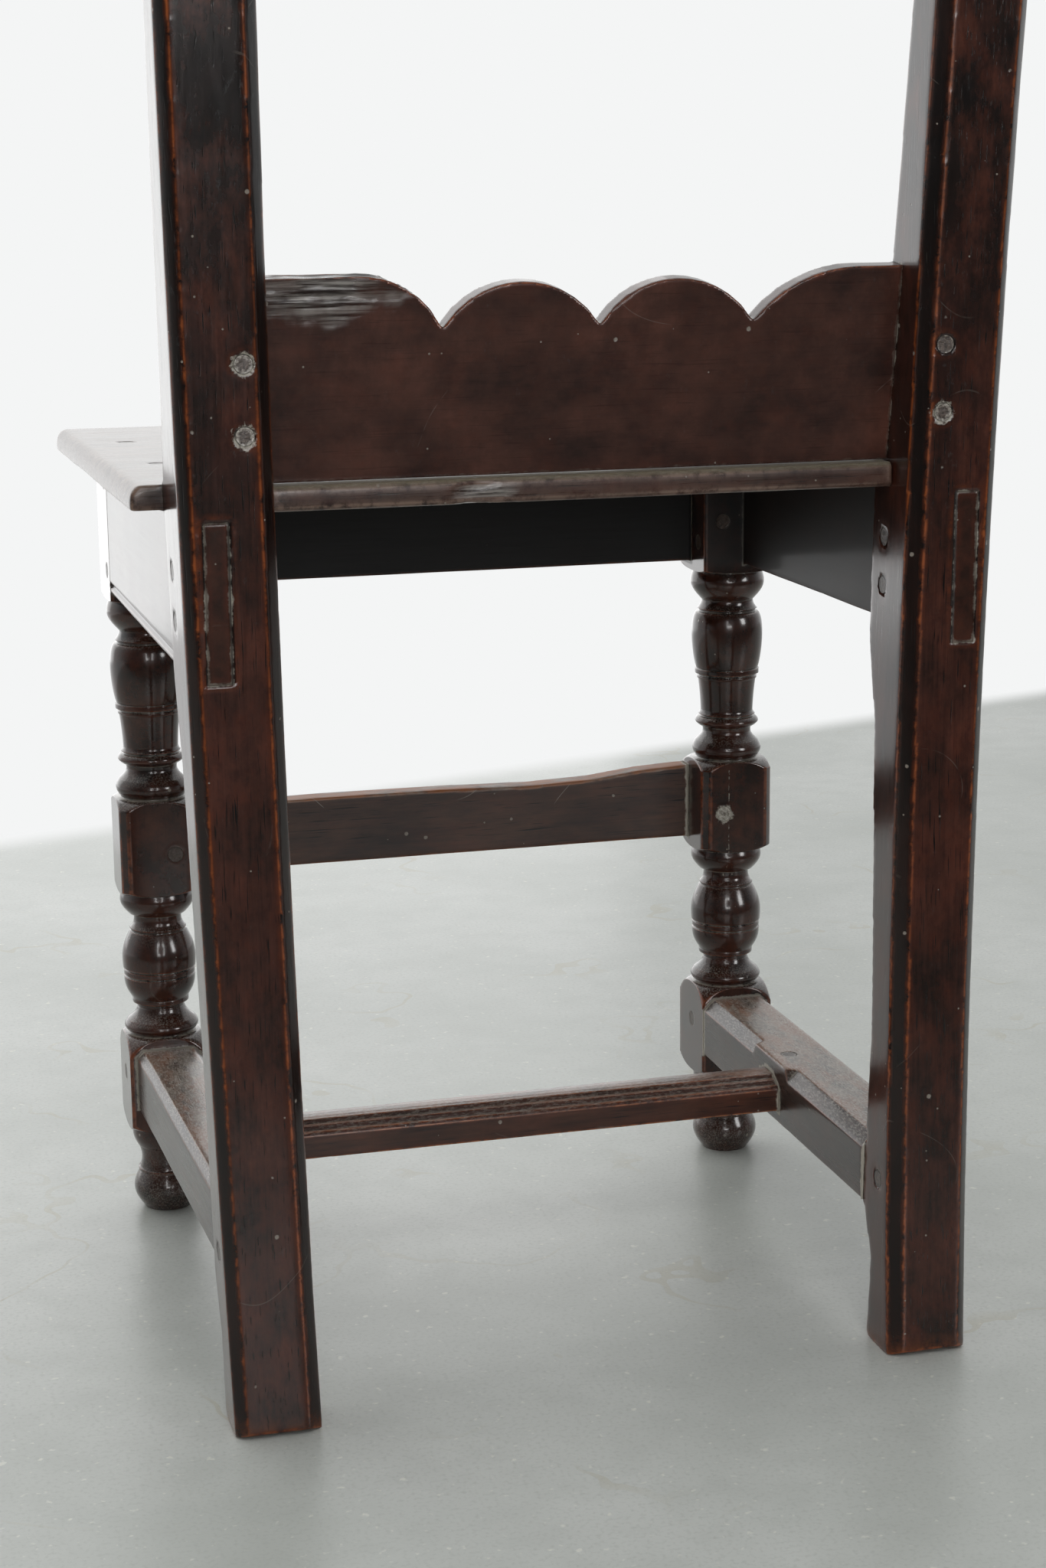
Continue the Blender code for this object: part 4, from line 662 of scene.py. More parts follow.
def mark(tree, mm, colour, patches, look):
    """Specks, nicks and long fine scratches. Gives the colour and the nicks."""
    nick = 0.0
    for size, wide, share in ((13, 0.095, 0.82), (6, 0.10, 0.86)):
        cells = add(tree, "ShaderNodeTexVoronoi", {"Vector": mm, "Scale": 1 / size})
        chosen = add(tree, "ShaderNodeSeparateColor", cells.outputs["Color"])
        chosen = add(tree, MATH, chosen, share, operation="GREATER_THAN")
        dot = add(tree, MATH, patches, 0.12, cells.outputs["Distance"], operation="MULTIPLY_ADD")
        dot = add(tree, RANGE, {"Value": dot, "From Min": wide + 0.06, "From Max": wide + 0.03})
        nick = add(tree, MATH, dot, chosen, nick, operation="MULTIPLY_ADD")
    colour = add(tree, MIX, {"Factor": nick, "A": colour, "B": linear("#8b8278")}, data_type="RGBA")
    drawn = add(tree, NOISE, {"Vector": mm, "Scale": 1 / 80, "Detail": 0.0})
    drawn = add(tree, MATH, drawn, 0.5, 0.0017, operation="COMPARE")
    place = add(tree, "ShaderNodeMapping", {"Vector": mm, "Location": (40.0, 28.0, 16.0)})
    parts = add(tree, NOISE, {"Vector": place, "Scale": 1 / 26, "Detail": 3.0, "Roughness": 0.6})
    colour, _ = lay(tree, colour, "#948c83", parts, 0.56, 0.64, look["scratch"], drawn)
    return colour, nick


print("joints, nicks and scratches ready")

# %% [markdown]
# ### Bare wood and painted shade under the seat
# One end of the back rail is weathered through the finish to grey, split wood, which the wear tree marked as
# "bare". The inner faces under the seat are darkened near black as painted shade, where the seat keeps the
# light off. This painted shade lies on faces that look backwards or towards the chair's middle, above the level
# where the seat rails begin.

# %% Bare wood and painted shade
UNDER_SEAT = 364.0                       # in mm


def weather_and_shade(tree, mm, colour, wear, lines, look):
    """Bare grey wood, and painted shade under the seat. Gives the colour and the painted shade."""
    bare = add(tree, "ShaderNodeAttribute", attribute_name="bare").outputs["Fac"]
    polished = add(tree, RANGE, {"Value": wear, "From Min": 0.2, "From Max": 0.6,
                                                "To Min": 0.8, "To Max": 0.1})
    bare = add(tree, MATH, bare, polished, operation="MULTIPLY")
    silver, _ = lay(tree, linear("#1d1715"), "#a6a19c", lines, 0.5 - 0.1 * look["grainy"],
                    0.5 + 0.12 * look["grainy"])
    colour = add(tree, MIX, {"Factor": bare, "A": colour, "B": silver}, data_type="RGBA")
    place = add(tree, SPLIT, mm)
    high = add(tree, RANGE, {"Value": place.outputs["Z"], "From Min": UNDER_SEAT, "From Max": UNDER_SEAT + 8})
    normal = add(tree, "ShaderNodeNewGeometry").outputs["Normal"]
    normal = add(tree, SPLIT, normal)
    inward = add(tree, MATH, normal.outputs["X"], place.outputs["X"], operation="MULTIPLY")
    # painted shade: faces above the seat rails that look backwards or inwards are darkened near black
    soot = 0.0
    for way, start, end, most in ((normal.outputs["Y"], 0.4, 0.7, look["soot"]),
                                  (inward, -40.0, -120.0, look["inner_soot"])):
        share = add(tree, RANGE, {"Value": way, "From Min": start, "From Max": end, "To Max": most})
        share = add(tree, MATH, share, high, operation="MULTIPLY")
        soot = add(tree, MATH, share, soot, operation="MAXIMUM")
    colour = add(tree, MIX, {"Factor": soot, "A": colour, "B": linear("#060505")}, data_type="RGBA")
    return colour, soot


print("soot above", UNDER_SEAT, "mm")

# %% [markdown]
# ### The whole finish
# The layers go on in the order in which they came about, and the painted shade under the seat last. Wax gives a
# satin shine that is duller along the grain lines, in dust and in the painted shade, and a thin clear coat
# stands for the polish on top. The shine's constants are set on the shader directly. A light relief follows the
# grain lines, pores and nicks.

# %% The whole finish
NOWHERE = 9999.0                         # a place in mm that is not on the chair
PLAIN_OAK = {
    # Way of the grain, its strength, and how round the clouds are
    "grain": GRAIN_UPRIGHT, "grainy": 1.0, "draw": 9.0,
    # Darkest and lightest wood, and the strength of the mottles
    "deep": "#20150f", "warm": "#4a2a1f", "mottle": 0.4,
    # Strip and line on the arrises, and kicked feet
    "worn": "#54271a", "rubbed": "#a4582a", "foot": 0.0,
    # Old wax with painted shade higher up, and the heights between which chamfer faces get painted shade
    "blue": 0.4, "chamfers": (0.0, 0.0),
    # Worn tops, partly painted sheen, and how level a top has to be
    "trodden": 0.0, "level": 0.95,
    # Dust on tops, partly painted sheen, in hollows that look up, in other hollows, and behind a place
    "dusty": 0.0, "clogged": 0.8, "clings": 0.0, "strip": NOWHERE,
    # Dust in joints, how far it reaches, and the place of a crack
    "seam": 0.3, "reach": 0.0, "crack": NOWHERE,
    # Scratches, and painted shade on rear and inner faces under the seat
    "scratch": 0.15, "soot": 0.0, "inner_soot": 0.0,
    # Roughness of the wax, and the polish on top
    "gloss": 0.30, "coat": 0.15,
}


def waxed_oak(name, **changes):
    """Dark waxed oak: mottled brown with pores, rubbed arrises, dusty joints and a satin wax shine."""
    look = {**PLAIN_OAK, **changes}
    finish = bpy.data.materials.new(name)
    finish.use_nodes = True
    tree = finish.node_tree
    shader = tree.nodes["Principled BSDF"]
    spot = add(tree, "ShaderNodeTexCoord").outputs["Object"]
    mm = add(tree, "ShaderNodeMapping", {"Vector": spot, "Scale": (1 / MM,) * 3})
    colour, lines, pores, drawn = figure(tree, mm, look)
    colour = wax_and_painted_shade(tree, mm, colour, look)
    colour, wear, patches = rub_arrises(tree, mm, colour, look)
    colour, dust = settle_dust_and_sheen(tree, mm, drawn, colour, wear, patches, look)
    colour, seam = fill_joints(tree, mm, colour, look)
    colour, nick = mark(tree, mm, colour, patches, look)
    colour, soot = weather_and_shade(tree, mm, colour, wear, lines, look)
    tree.links.new(colour.outputs[2], shader.inputs["Base Color"])
    rough = add(tree, RANGE, {"Value": lines, "From Min": 0.3, "From Max": 0.7,
                                             "To Min": look["gloss"], "To Max": look["gloss"] + 0.06})
    relief = add(tree, MATH, lines, 0.015, operation="MULTIPLY")
    for dull, much in ((dust, 0.12), (seam, 0.38), (soot, 0.38)):
        rough = add(tree, MATH, dull, much, rough, operation="MULTIPLY_ADD")
    for cut, depth in ((pores, -0.05), (nick, -0.25)):
        relief = add(tree, MATH, cut, depth, relief, operation="MULTIPLY_ADD")
    tree.links.new(rough.outputs[0], shader.inputs["Roughness"])
    bump = add(tree, "ShaderNodeBump", {"Strength": 0.8, "Distance": MM, "Height": relief})
    tree.links.new(bump.outputs[0], shader.inputs["Normal"])
    for socket, value in (("IOR", 1.4), ("Coat Weight", look["coat"]), ("Coat IOR", 1.5),
                          ("Coat Roughness", 0.12)):
        shader.inputs[socket].default_value = value
    return finish


print("plain oak has", len(PLAIN_OAK), "settings")

# %% [markdown]
# ### Nine finishes
# Each kind of piece was used in its own way. Posts are reddest and best rubbed, the turned legs are darkest
# and shiniest, the stretchers are trodden and dusty with painted sheen on their tops, and the seat is pale
# grey-brown along its rubbed edge.

# %% Nine finishes
OAK_POST = waxed_oak("waxed_oak_posts", deep="#291a15", warm="#573025", worn="#64301a", rubbed="#9a522a",
                     gloss=0.15, draw=18.0, mottle=0.6, blue=0.9, seam=0.75, reach=-0.5, foot=0.8,
                     chamfers=(-10.0, 2000.0))
OAK_TURNED = waxed_oak("waxed_oak_turned", deep="#150e0c", warm="#4c2a1d", worn="#42231a", rubbed="#7d4023",
                       grainy=0.25, draw=30.0, gloss=0.17, coat=0.5, mottle=0.7, dusty=0.5, clings=0.4,
                       seam=0.6, soot=0.7, crack=-168.6, chamfers=(196.0, 246.0))
OAK_ACROSS = waxed_oak("waxed_oak_back_rails", grain=GRAIN_ACROSS, deep="#38241f", warm="#5b392f",
                       rubbed="#8d5034", grainy=0.3, gloss=0.2, draw=20.0, mottle=0.3, seam=0.1)
OAK_FRONT = waxed_oak("waxed_oak_front_stretcher", grain=GRAIN_ACROSS, deep="#2b1e1a", warm="#573a2c",
                      worn="#7d4a28", rubbed="#9a5a2a", gloss=0.55, trodden=0.9, level=0.2, seam=0.9, reach=0.8,
                      scratch=0.6)
OAK_MEDIAL = waxed_oak("waxed_oak_medial_stretcher", grain=GRAIN_ACROSS, deep="#2b1913", warm="#583426",
                       rubbed="#b06a3c", gloss=0.28, coat=0.3, trodden=0.3, dusty=0.5, clogged=0.2, seam=0.8)
OAK_SIDE = waxed_oak("waxed_oak_side_stretchers", grain=GRAIN_LENGTH, deep="#241a17", warm="#463730",
                     rubbed="#8d5a3c", gloss=0.26, coat=0.2, trodden=0.7, dusty=0.8, seam=0.9, reach=1.2)
OAK_RAIL = waxed_oak("waxed_oak_side_rails", grain=GRAIN_LENGTH, deep="#24150f", warm="#4a2b20",
                     rubbed="#74452e", grainy=0.2, gloss=0.18, coat=0.1, inner_soot=0.8)
OAK_SEAT = waxed_oak("waxed_oak_seat", grain=GRAIN_ACROSS, deep="#2c1e1a", warm="#55392f", worn="#7a6459",
                     rubbed="#836b5c", gloss=0.26, trodden=0.15, dusty=0.3, seam=0.1, strip=124.0)
# painted shade: the front rail under the seat is darkened near black on the faces that look backwards
OAK_SHADED_BEHIND = waxed_oak("waxed_oak_sooty_behind", grain=GRAIN_ACROSS, deep="#2d1c18", warm="#55332a", soot=0.97)
print("oak finishes with", len(OAK_POST.node_tree.nodes), "nodes each")

# %% [markdown]
# ## Sawn and planed pieces
# Posts, rails, stretchers and seat were sawn, planed and moulded by hand, and their solids already have
# the right shape. Each gets a grid fine enough for its smallest moulding, then wear of its own: the seat
# and stretchers are rubbed most, and the lower back rail has a grey split patch at one end.

# %% Wear the sawn pieces
WHOLE = sorted(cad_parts)
PEGS = [name for name in WHOLE if "_peg_" in name]

BOTH = ("_left", "_right")
# node and its sides, grid cell in mm, finish, rounds of smoothing, rounding, dents in mm
SAWN = (
    ("rear_post", BOTH, 1.48, OAK_POST, 5, 0.9, 0.3),
    ("front_seat_rail", ("",), 1.60, OAK_SHADED_BEHIND, 3, 0.8, 0.3),
    ("side_seat_rail", BOTH, 1.25, OAK_RAIL, 3, 0.8, 0.2),
    ("seat_board", ("",), 2.00, OAK_SEAT, 3, 1.0, 0.4),
    ("lower_back_rail", ("",), 1.05, OAK_ACROSS, 3, 1.0, 0.5),
    ("crest_rail", ("",), 1.40, OAK_ACROSS, 3, 1.0, 0.5),
    ("front_stretcher", ("",), 0.90, OAK_FRONT, 9, 1.0, 0.5),
    ("side_stretcher", BOTH, 0.84, OAK_SIDE, 12, 1.0, 0.3),
    ("medial_stretcher", ("",), 0.90, OAK_MEDIAL, 2, 0.7, 0.3),
)
WAVE = 0.25                              # depth of the hand plane's waves in mm
# Dust on the ends of some pegs. Those with much of it have a pale ring round them too.
DUSTY = {"back_rail_peg_right_upper": 0.2, "back_rail_peg": 0.5, "crest_rail_peg": 0.5,
         "front_stretcher_peg_right": 1.25, "medial_peg": 0.35, "seat_peg": 0.25}
peg_dust = {name: next((v for start, v in DUSTY.items() if name.startswith(start)), 0.0) for name in PEGS}
DUSTY_PEGS = [name for name, amount in peg_dust.items() if amount >= 0.5]
# Weathered patches: centre, reach, depth, and how fine the splits are along each axis
PATCHES = {
    "lower_back_rail": ((0.128, 0.128, 0.549), (0.048, 0.02, 0.020), 1.2, (16.0, 180.0, 300.0)),
    "seat_board": ((0.052, 0.136, 0.450), (0.020, 0.008, 0.008), 1.6, (60.0, 200.0, 200.0)),
}


def wear_piece(piece, node, finish, rounds, rounding, dents, cell, seed):
    """Run the wear tree on a gridded piece, with all the other solids as its neighbours."""
    others = merged_copy([name for name in WHOLE if name != node], "others")
    members = merged_copy([name for name in WHOLE if name != node and name not in PEGS], "members")
    dusty = merged_copy(DUSTY_PEGS, "dusty_pegs")
    centre, reach, depth, grain = PATCHES.get(node, (FAR_AWAY, (1.0, 1.0, 1.0), 0.0, (1.0, 1.0, 1.0)))
    set_inputs(piece, wear_tree, {
        "Others": others, "Members": members, "Dusty Pegs": dusty, "Cell": cell * MM * DETAIL,
        "Rounds": rounds, "Rounding": rounding, "Dents": dents * MM, "Wave": WAVE * MM,
        "Seed": (0.37 * seed, 0.21 * seed, 0.13 * seed), "Patch Centre": centre, "Patch Reach": reach,
        "Patch Depth": depth * MM, "Patch Grain": grain, "Material": finish})
    bake(piece)
    for solids in (others, members, dusty):
        bpy.data.objects.remove(solids, do_unlink=True)
    return piece


def show_wear(piece):
    """Print a finished piece's triangles and the spread of its arris values."""
    values = np.zeros(len(piece.data.vertices))
    piece.data.attributes["arris"].data.foreach_get("value", values)
    print(piece.name, count(piece), "triangles, arris", np.round(np.percentile(values, (1, 50, 95, 99)), 2))


sawn_rows = [(kind + side, *rest) for kind, sides, *rest in SAWN for side in sides]
for seed, (node, cell, finish, rounds, rounding, dents) in enumerate(sawn_rows):
    piece = merged_copy([node], node + "_worn")
    lay_grid(piece, cell * MM * DETAIL)
    wear_piece(piece, node, finish, rounds, rounding, dents, cell, seed)
    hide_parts(node)
    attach(piece, "root")
    show_wear(piece)

# %% [markdown]
# ## Turned front legs
# Each front leg was turned on a lathe from a square blank, and the turner left three square blocks for
# the joints. A leg could be modelled with a Screw modifier and a Boolean, but a rule is simpler: sweep a
# circle along the axis, scaled by the turned radius at each level, then pull every point that lies outside
# the square blank back onto it. The shoulders then arch where they meet the blocks, as on a real leg. The
# turner's elements are listed from top to bottom as shape, height, and first, middle and last radius, or one
# radius for a flat.

# %% Outline of the turning
UPPER_TURNING = (
    ("round", 18.0, 20.6, 21.9, 15.6), ("round", 5.5, 15.6, 16.2, 18.1), ("flat", 1.5, 17.2),
    ("vase", 35.0, 17.5, 21.6, 18.4), ("flat", 3.0, 19.4), ("flat", 1.5, 17.5),
    ("flat", 1.5, 18.1), ("round", 19.5, 17.5, 16.4, 15.8), ("round", 2.7, 15.8, 16.2, 17.2),
    ("flat", 1.2, 16.0), ("round", 6.0, 17.2, 19.2, 16.2), ("round", 8.5, 15.0, 14.9, 18.5),
    ("round", 10.0, 18.6, 20.9, 18.8), ("flat", 1.0, 18.4),
)
LOWER_TURNING = (
    ("round", 13.5, 20.4, 21.2, 16.4), ("flat", 3.0, 13.8), ("round", 6.0, 13.8, 14.4, 16.5),
    ("flat", 1.5, 15.8), ("round", 22.0, 16.6, 20.9, 21.2), ("flat", 1.1, 19.6),
    ("flat", 2.8, 20.7), ("flat", 1.1, 19.6),
    ("round", 13.5, 20.8, 19.9, 16.2), ("flat", 2.5, 16.5), ("flat", 3.0, 13.6),
    ("round", 7.5, 13.8, 15.6, 19.8), ("round", 7.0, 19.8, 21.6, 19.4), ("flat", 0.5, 18.8),
)
FOOT_TURNING = (
    ("round", 13.0, 19.0, 19.4, 16.8), ("round", 14.0, 16.4, 14.8, 16.0), ("flat", 1.5, 16.9),
    ("round", 23.0, 16.2, 19.8, 14.0),
)
BLANK = 44.4                             # square blank
LEVELS = {"top": 445.2, "top_end": 364.2, "middle": 249.5, "middle_end": 193.5, "lower": 108.5, "foot": 51.5}
TURNED_STEP, BLOCK_STEP, TINY = 0.5 * DETAIL, 1.15 * DETAIL, 0.06
VASE = 0.65                              # below 1 a barrel is fullest near its top


def turned_run(elements, top, bottom):
    """Outline of a row of elements, drawn out to fill the space between two levels."""
    draw = (top - bottom) / sum(element[1] for element in elements)
    outline, level = [], top
    for shape, height, *radii in elements:
        first, middle, last = radii if len(radii) == 3 else radii * 3
        steps = max(2, round(height * draw / TURNED_STEP))
        for share in np.linspace(0, 1, steps + 1):
            bulge = math.sin(math.pi * share ** VASE) ** VASE if shape == "vase" else math.sin(math.pi * share)
            swell = (middle - (first + last) / 2) * bulge
            outline.append((first + (last - first) * share + swell, level - height * draw * share))
        level -= height * draw
    return outline


def block_run(top, bottom, top_fall, bottom_fall):
    """Outline past a block. Its shoulders fall away towards the corners of the blank."""
    start = BLANK * 0.45
    reach = BLANK / math.sqrt(2) - start
    shares = np.linspace(0.15, 1.25, round(26 / DETAIL))
    upper = [(start + reach * s, top - top_fall * s * s) for s in shares] if top_fall else []
    lower = [(start + reach * s, bottom + bottom_fall * s * s) for s in shares[::-1]]
    high = upper[-1][1] if upper else top
    rows = round((high - lower[0][1]) / BLOCK_STEP)
    middle = [(start + reach * 1.25, z) for z in np.linspace(high, lower[0][1], rows)]
    return upper + middle[1 if upper else 0:-1] + lower


outline = block_run(LEVELS["top"], LEVELS["top_end"], 0.0, 2.0)
outline += turned_run(UPPER_TURNING, LEVELS["top_end"], LEVELS["middle"])
outline += block_run(LEVELS["middle"], LEVELS["middle_end"], 9.0, 5.5)
outline += turned_run(LOWER_TURNING, LEVELS["middle_end"], LEVELS["lower"])
outline += block_run(LEVELS["lower"], LEVELS["foot"], 10.0, 5.0)
outline += turned_run(FOOT_TURNING, LEVELS["foot"], 0.0)
for i in range(1, len(outline)):         # keep the rows apart where a step is square
    outline[i] = (outline[i][0], min(outline[i][1], outline[i - 1][1] - TINY))
lift = -outline[-1][1] * MM
print(len(outline), "rows in the outline of a leg, lifted", round(lift / MM, 3), "mm")

# %% Geometry Nodes tree for a turned leg
leg_tree, given, result = new_tree("turned_leg", (
    ("Sides", "Int"), ("Half Blank", "Float"), ("Chamfer Reach", "Float"), ("Chamfer Low", "Float"),
    ("Chamfer High", "Float"), ("Axis", "Vector"), ("Material", "Material")))
tree = leg_tree
line = add(tree, "GeometryNodeMeshToCurve", {"Mesh": given.outputs["Geometry"]})
ring = add(tree, "GeometryNodeCurvePrimitiveCircle", {"Resolution": given.outputs["Sides"], "Radius": 1.0})
radius = add(tree, "GeometryNodeInputNamedAttribute", {"Name": "turned_radius"})
swept = add(tree, "GeometryNodeCurveToMesh", {"Curve": line, "Profile Curve": ring, "Scale": radius,
                                              "Fill Caps": True})
here = add(tree, "GeometryNodeInputPosition")
size = add(tree, VECTOR, here, operation="ABSOLUTE")
size = add(tree, SPLIT, size)
across = add(tree, MATH, size.outputs["X"], size.outputs["Y"], operation="MAXIMUM")
square = add(tree, MATH, given.outputs["Half Blank"], across, operation="DIVIDE")
corner = add(tree, MATH, size.outputs["X"], size.outputs["Y"], operation="ADD")
corner = add(tree, MATH, given.outputs["Chamfer Reach"], corner, operation="DIVIDE")
above = add(tree, MATH, size.outputs["Z"], given.outputs["Chamfer Low"], operation="LESS_THAN")
below = add(tree, MATH, size.outputs["Z"], given.outputs["Chamfer High"], operation="GREATER_THAN")
outside = add(tree, MATH, above, below, operation="ADD")
corner = add(tree, MATH, corner, outside, operation="ADD")
pull = add(tree, MATH, square, corner, operation="MINIMUM")
pull = add(tree, MATH, pull, 1.0, operation="MINIMUM")
pulled = add(tree, "ShaderNodeCombineXYZ", pull, pull, 1.0)
placed = add(tree, VECTOR, here, pulled, given.outputs["Axis"], operation="MULTIPLY_ADD")
shape = add(tree, "GeometryNodeSetPosition", {"Geometry": swept, "Position": placed})
shape = add(tree, "GeometryNodeRealizeInstances", {"Geometry": shape})
shape = add(tree, "GeometryNodeSetMaterial", {"Geometry": shape, "Material": given.outputs["Material"]})
tree.links.new(shape.outputs[0], result.inputs[0])
print("turned leg tree with", len(tree.nodes), "nodes")

# %% [markdown]
# ## Mortises and peg holes
# The tenons of the rails run into the legs, and pegs cross them. The openings could be left out, since the
# shoulders hide most of them, but the peg holes show. Copies of the neighbouring solids, grown by a little,
# and a long pin for every peg are cut out of the finished leg with a Boolean.

# %% Make the legs
LEG_SIDES = 120 if DETAIL == 1.0 else 64
LEG_X, LEG_Y = 0.1752, -0.162749
BLOCK_CHAMFER = 4.5
PEG_CLEARANCE = 0.2 * MM
LEG_CELL, LEG_ROUNDS, LEG_ROUNDING, LEG_DENTS = 0.75, 2, 0.2, 0.2
GROW = 0.5 * MM                          # along the corner's normal, which is 0.3 mm on each face


def leg_neighbours(side_name):
    """Names of the solids whose tenons enter a leg, and of the pegs that cross it."""
    tenons = ["front_seat_rail", "front_stretcher", "side_seat_rail_" + side_name,
              "side_stretcher_" + side_name]
    crossing = [name for name in PEGS if side_name in name
                and name.startswith(("side_rail_leg", "front_rail", "front_stretcher", "side_stretcher_leg"))]
    return tenons, crossing


def grown_copy(names, label):
    """Copies of some solids, each swollen along its normals to leave a clearance."""
    copy = merged_copy(names, label)
    copy.data.update()
    moved = [vertex.co + vertex.normal * GROW for vertex in copy.data.vertices]
    for vertex, place in zip(copy.data.vertices, moved):
        vertex.co = place
    return copy


def peg_line(name):
    """Middle, direction, length and radius of a peg, from the box round its solid."""
    low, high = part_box(name)
    size = high - low
    longest = max(range(3), key=lambda axis: size[axis])
    direction = Vector([1.0 if axis == longest else 0.0 for axis in range(3)])
    return (low + high) / 2, direction, size[longest], min(size) / 2


def long_pins(names, label):
    """Pins a little wider than the pegs that run past both their ends, to cut the holes."""
    shape = bmesh.new()
    for name in names:
        middle, direction, length, radius = peg_line(name)
        turn = direction.to_track_quat("Z", "Y").to_matrix().to_4x4()
        bmesh.ops.create_cone(shape, cap_ends=True, segments=24, radius1=radius + PEG_CLEARANCE,
                              radius2=radius + PEG_CLEARANCE, depth=length + 4 * MM,
                              matrix=Matrix.Translation(middle) @ turn)
    mesh = bpy.data.meshes.new(label)
    shape.to_mesh(mesh)
    shape.free()
    pins = bpy.data.objects.new(label, mesh)
    bpy.context.scene.collection.objects.link(pins)
    return pins


def split_faces(piece):
    """Cut the Boolean's many-sided faces into even triangles, so that an export leaves no doubled slivers."""
    shape = bmesh.new()
    shape.from_mesh(piece.data)
    bmesh.ops.triangulate(shape, faces=[face for face in shape.faces if len(face.verts) > 4])
    shape.to_mesh(piece.data)
    shape.free()


for seed, (side_name, side) in enumerate((("left", 1), ("right", -1))):
    node = "front_leg_" + side_name
    line_mesh = bpy.data.meshes.new(node + "_worn")
    line_mesh.from_pydata([(0, 0, z * MM + lift) for _, z in outline],
                          [(i, i + 1) for i in range(len(outline) - 1)], [])
    radii = line_mesh.attributes.new("turned_radius", "FLOAT", "POINT")
    radii.data.foreach_set("value", [r * MM for r, _ in outline])
    leg = bpy.data.objects.new(node + "_worn", line_mesh)
    bpy.context.scene.collection.objects.link(leg)
    set_inputs(leg, leg_tree, {
        "Sides": LEG_SIDES, "Half Blank": BLANK / 2 * MM, "Chamfer Reach": (BLANK - BLOCK_CHAMFER) * MM,
        "Chamfer Low": (LEVELS["middle_end"] - 2) * MM, "Chamfer High": (LEVELS["middle"] + 2) * MM,
        "Axis": (side * LEG_X, LEG_Y, 0.0), "Material": OAK_TURNED})
    bake(leg)
    shape = bmesh.new()
    shape.from_mesh(leg.data)
    bmesh.ops.recalc_face_normals(shape, faces=shape.faces)
    shape.to_mesh(leg.data)
    shape.free()
    wear_piece(leg, node, OAK_TURNED, LEG_ROUNDS, LEG_ROUNDING, LEG_DENTS, LEG_CELL, 40 + seed)
    tenons, crossing = leg_neighbours(side_name)
    cutters = [grown_copy([name], "tenon_" + name) for name in tenons] + [long_pins(crossing, "peg_holes")]
    for cutter in cutters:
        cut = leg.modifiers.new(cutter.name, "BOOLEAN")
        cut.operation, cut.solver, cut.object = "DIFFERENCE", "MANIFOLD", cutter
    bake(leg)
    for cutter in cutters:
        bpy.data.objects.remove(cutter, do_unlink=True)
    split_faces(leg)
    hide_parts(node)
    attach(leg, "root")
    show_wear(leg)

# %% [markdown]
# ## Pegs
# Thirty-four oak pegs lock the joints. They were split rather than sawn, so they are roughly faceted, and
# their cut ends show rough end grain with dust round the rim. One peg is shaped in a Geometry Nodes tree
# and set on a point for each joint, turned at random, and then its ends and sides are roughened.

# %% Geometry Nodes tree for the pegs
peg_tree, given, result = new_tree("riven_pegs", (
    ("Facets", "Int"), ("Roughness", "Float"), ("Seed", "Int"), ("Material", "Material")))
tree = peg_tree
stick = add(tree, "GeometryNodeMeshCylinder", {"Vertices": given.outputs["Facets"], "Side Segments": 6,
                                               "Fill Segments": 4, "Radius": 1.0, "Depth": 1.0})
own = add(tree, "GeometryNodeInputPosition")
stick = add(tree, "GeometryNodeStoreNamedAttribute",
            {"Geometry": stick.outputs["Mesh"], "Name": "own_place", "Value": own},
            data_type="FLOAT_VECTOR", domain="POINT")
way = add(tree, "GeometryNodeInputNamedAttribute", {"Name": "direction"}, data_type="FLOAT_VECTOR")
turn = add(tree, "FunctionNodeAlignRotationToVector", {"Vector": way}, axis="Z")
spin = add(tree, "FunctionNodeRandomValue", {"Max": math.tau, "Seed": given.outputs["Seed"]}, data_type="FLOAT")
spin = add(tree, "FunctionNodeAxisAngleToRotation", {"Axis": (0, 0, 1), "Angle": spin})
turn = add(tree, "FunctionNodeRotateRotation", {"Rotation": turn, "Rotate By": spin}, rotation_space="LOCAL")
scale = add(tree, "GeometryNodeInputNamedAttribute", {"Name": "size"}, data_type="FLOAT_VECTOR")
pegs = add(tree, "GeometryNodeInstanceOnPoints", {"Points": given.outputs["Geometry"], "Instance": stick,
                                                  "Rotation": turn, "Scale": scale})
pegs = add(tree, "GeometryNodeRealizeInstances", {"Geometry": pegs})
place = add(tree, "GeometryNodeInputPosition")
rough = add(tree, NOISE, {"Vector": place, "Scale": 1 / 0.003, "Detail": 2.0})
rough = add(tree, MATH, rough, given.outputs["Roughness"], operation="MULTIPLY")
rough = add(tree, MATH, rough, -1.0, operation="MULTIPLY")
out = add(tree, "GeometryNodeInputNormal")
rough = add(tree, VECTOR, {0: out, "Scale": rough}, operation="SCALE")
pegs = add(tree, "GeometryNodeSetPosition", {"Geometry": pegs, "Offset": rough})
pegs = add(tree, "GeometryNodeSetMaterial", {"Geometry": pegs, "Material": given.outputs["Material"]})
tree.links.new(pegs.outputs[0], result.inputs[0])
print("peg tree with", len(tree.nodes), "nodes")

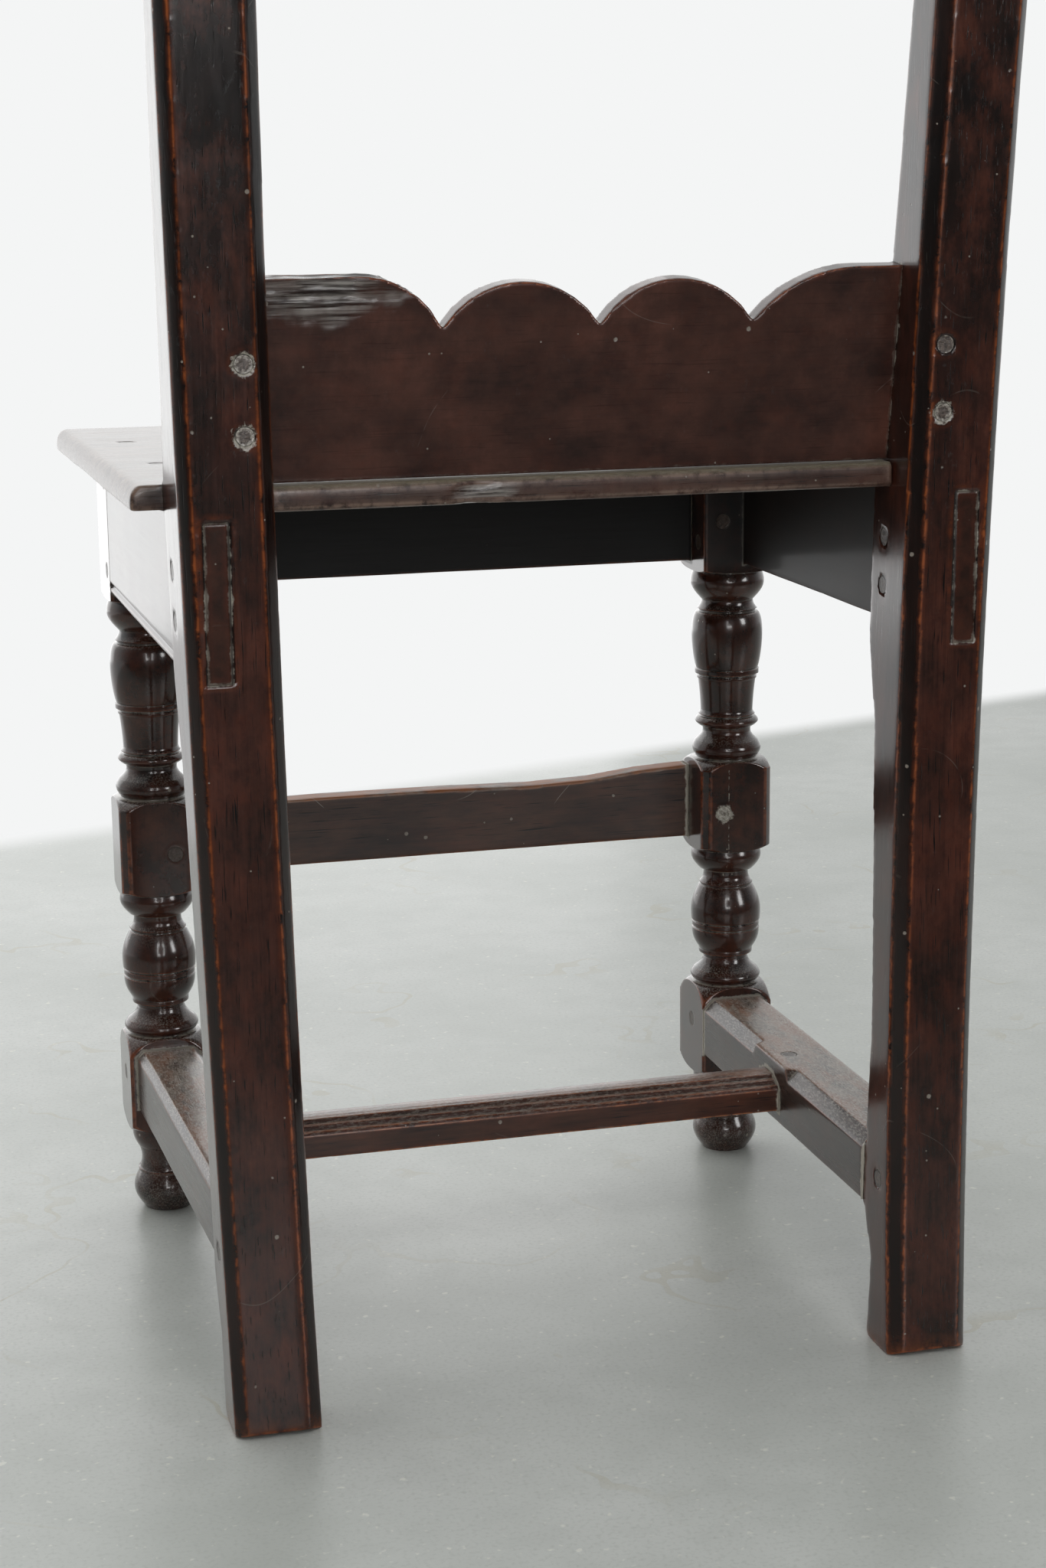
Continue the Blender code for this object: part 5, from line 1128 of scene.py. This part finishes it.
# %% Peg finish
# Riven oak pegs: dull grey-brown end grain, darker in the middle, with pale dust round the rim
peg_finish = bpy.data.materials.new("riven_oak_peg_ends")
peg_finish.use_nodes = True
tree = peg_finish.node_tree
shader = tree.nodes["Principled BSDF"]
spot = add(tree, "ShaderNodeTexCoord").outputs["Object"]
mm = add(tree, "ShaderNodeMapping", {"Vector": spot, "Scale": (1 / MM,) * 3})
own = add(tree, "ShaderNodeAttribute", attribute_name="own_place").outputs["Vector"]
flat = add(tree, VECTOR, own, (1.0, 1.0, 0.0), operation="MULTIPLY")
from_axis = add(tree, VECTOR, flat, operation="LENGTH").outputs["Value"]
speckle = add(tree, NOISE, {"Vector": mm, "Scale": 1 / 1.6, "Detail": 3.0, "Roughness": 0.7})
colour, fibre = lay(tree, linear("#2b201b"), "#5e4f45", speckle, 0.35, 0.65)
dusty = add(tree, "ShaderNodeAttribute", attribute_name="dusty").outputs["Fac"]
rim = add(tree, MATH, speckle, 1.1, from_axis, operation="MULTIPLY_ADD")
rim = add(tree, MATH, dusty, 0.9, rim, operation="MULTIPLY_ADD")
crumbs = add(tree, MIX, {"Factor": fibre, "A": linear("#7d7468"), "B": linear("#dcd7cc")}, data_type="RGBA")
colour, _ = lay(tree, colour, crumbs, rim, 1.55, 2.25, 0.95)
tree.links.new(colour.outputs[2], shader.inputs["Base Color"])
shader.inputs["Roughness"].default_value = 0.3
relief = add(tree, MATH, speckle, 0.4, operation="MULTIPLY")
bump = add(tree, "ShaderNodeBump", {"Strength": 0.7, "Distance": MM, "Height": relief})
tree.links.new(bump.outputs[0], shader.inputs["Normal"])
print("peg finish with", len(tree.nodes), "nodes")

# %% Set the pegs
PEG_SWELL, PEG_PROUD = 0.14 * MM, 0.55 * MM      # the pegs fill their holes and end flush
lines = [peg_line(name) for name in PEGS]
point_mesh = bpy.data.meshes.new("riven_pegs")
point_mesh.from_pydata([tuple(middle) for middle, _, _, _ in lines], [], [])
ways = point_mesh.attributes.new("direction", "FLOAT_VECTOR", "POINT")
ways.data.foreach_set("vector", [v for _, direction, _, _ in lines for v in direction])
sizes = point_mesh.attributes.new("size", "FLOAT_VECTOR", "POINT")
sizes.data.foreach_set("vector", [v for _, _, length, radius in lines
                                  for v in (radius + PEG_SWELL, radius + PEG_SWELL, length + PEG_PROUD)])
dust = point_mesh.attributes.new("dusty", "FLOAT", "POINT")
dust.data.foreach_set("value", [peg_dust[name] for name in PEGS])
peg_piece = bpy.data.objects.new("riven_pegs", point_mesh)
bpy.context.scene.collection.objects.link(peg_piece)
set_inputs(peg_piece, peg_tree, {"Facets": 16, "Roughness": 0.3 * MM, "Seed": 7, "Material": peg_finish})
bake(peg_piece)
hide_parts(*PEGS)
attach(peg_piece, "root")
print(len(lines), "pegs,", count(peg_piece), "triangles")

# %% [markdown]
# ## Sizes and finish
# The dressed chair must keep the size of the solids. Both boxes are printed.

# %% Compare the boxes
VISUAL_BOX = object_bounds()
for label, (low, high) in (("solids", CAD_BOX), ("dressed", VISUAL_BOX)):
    print(label, [round((b - a) / MM, 2) for a, b in zip(low, high)], "mm")
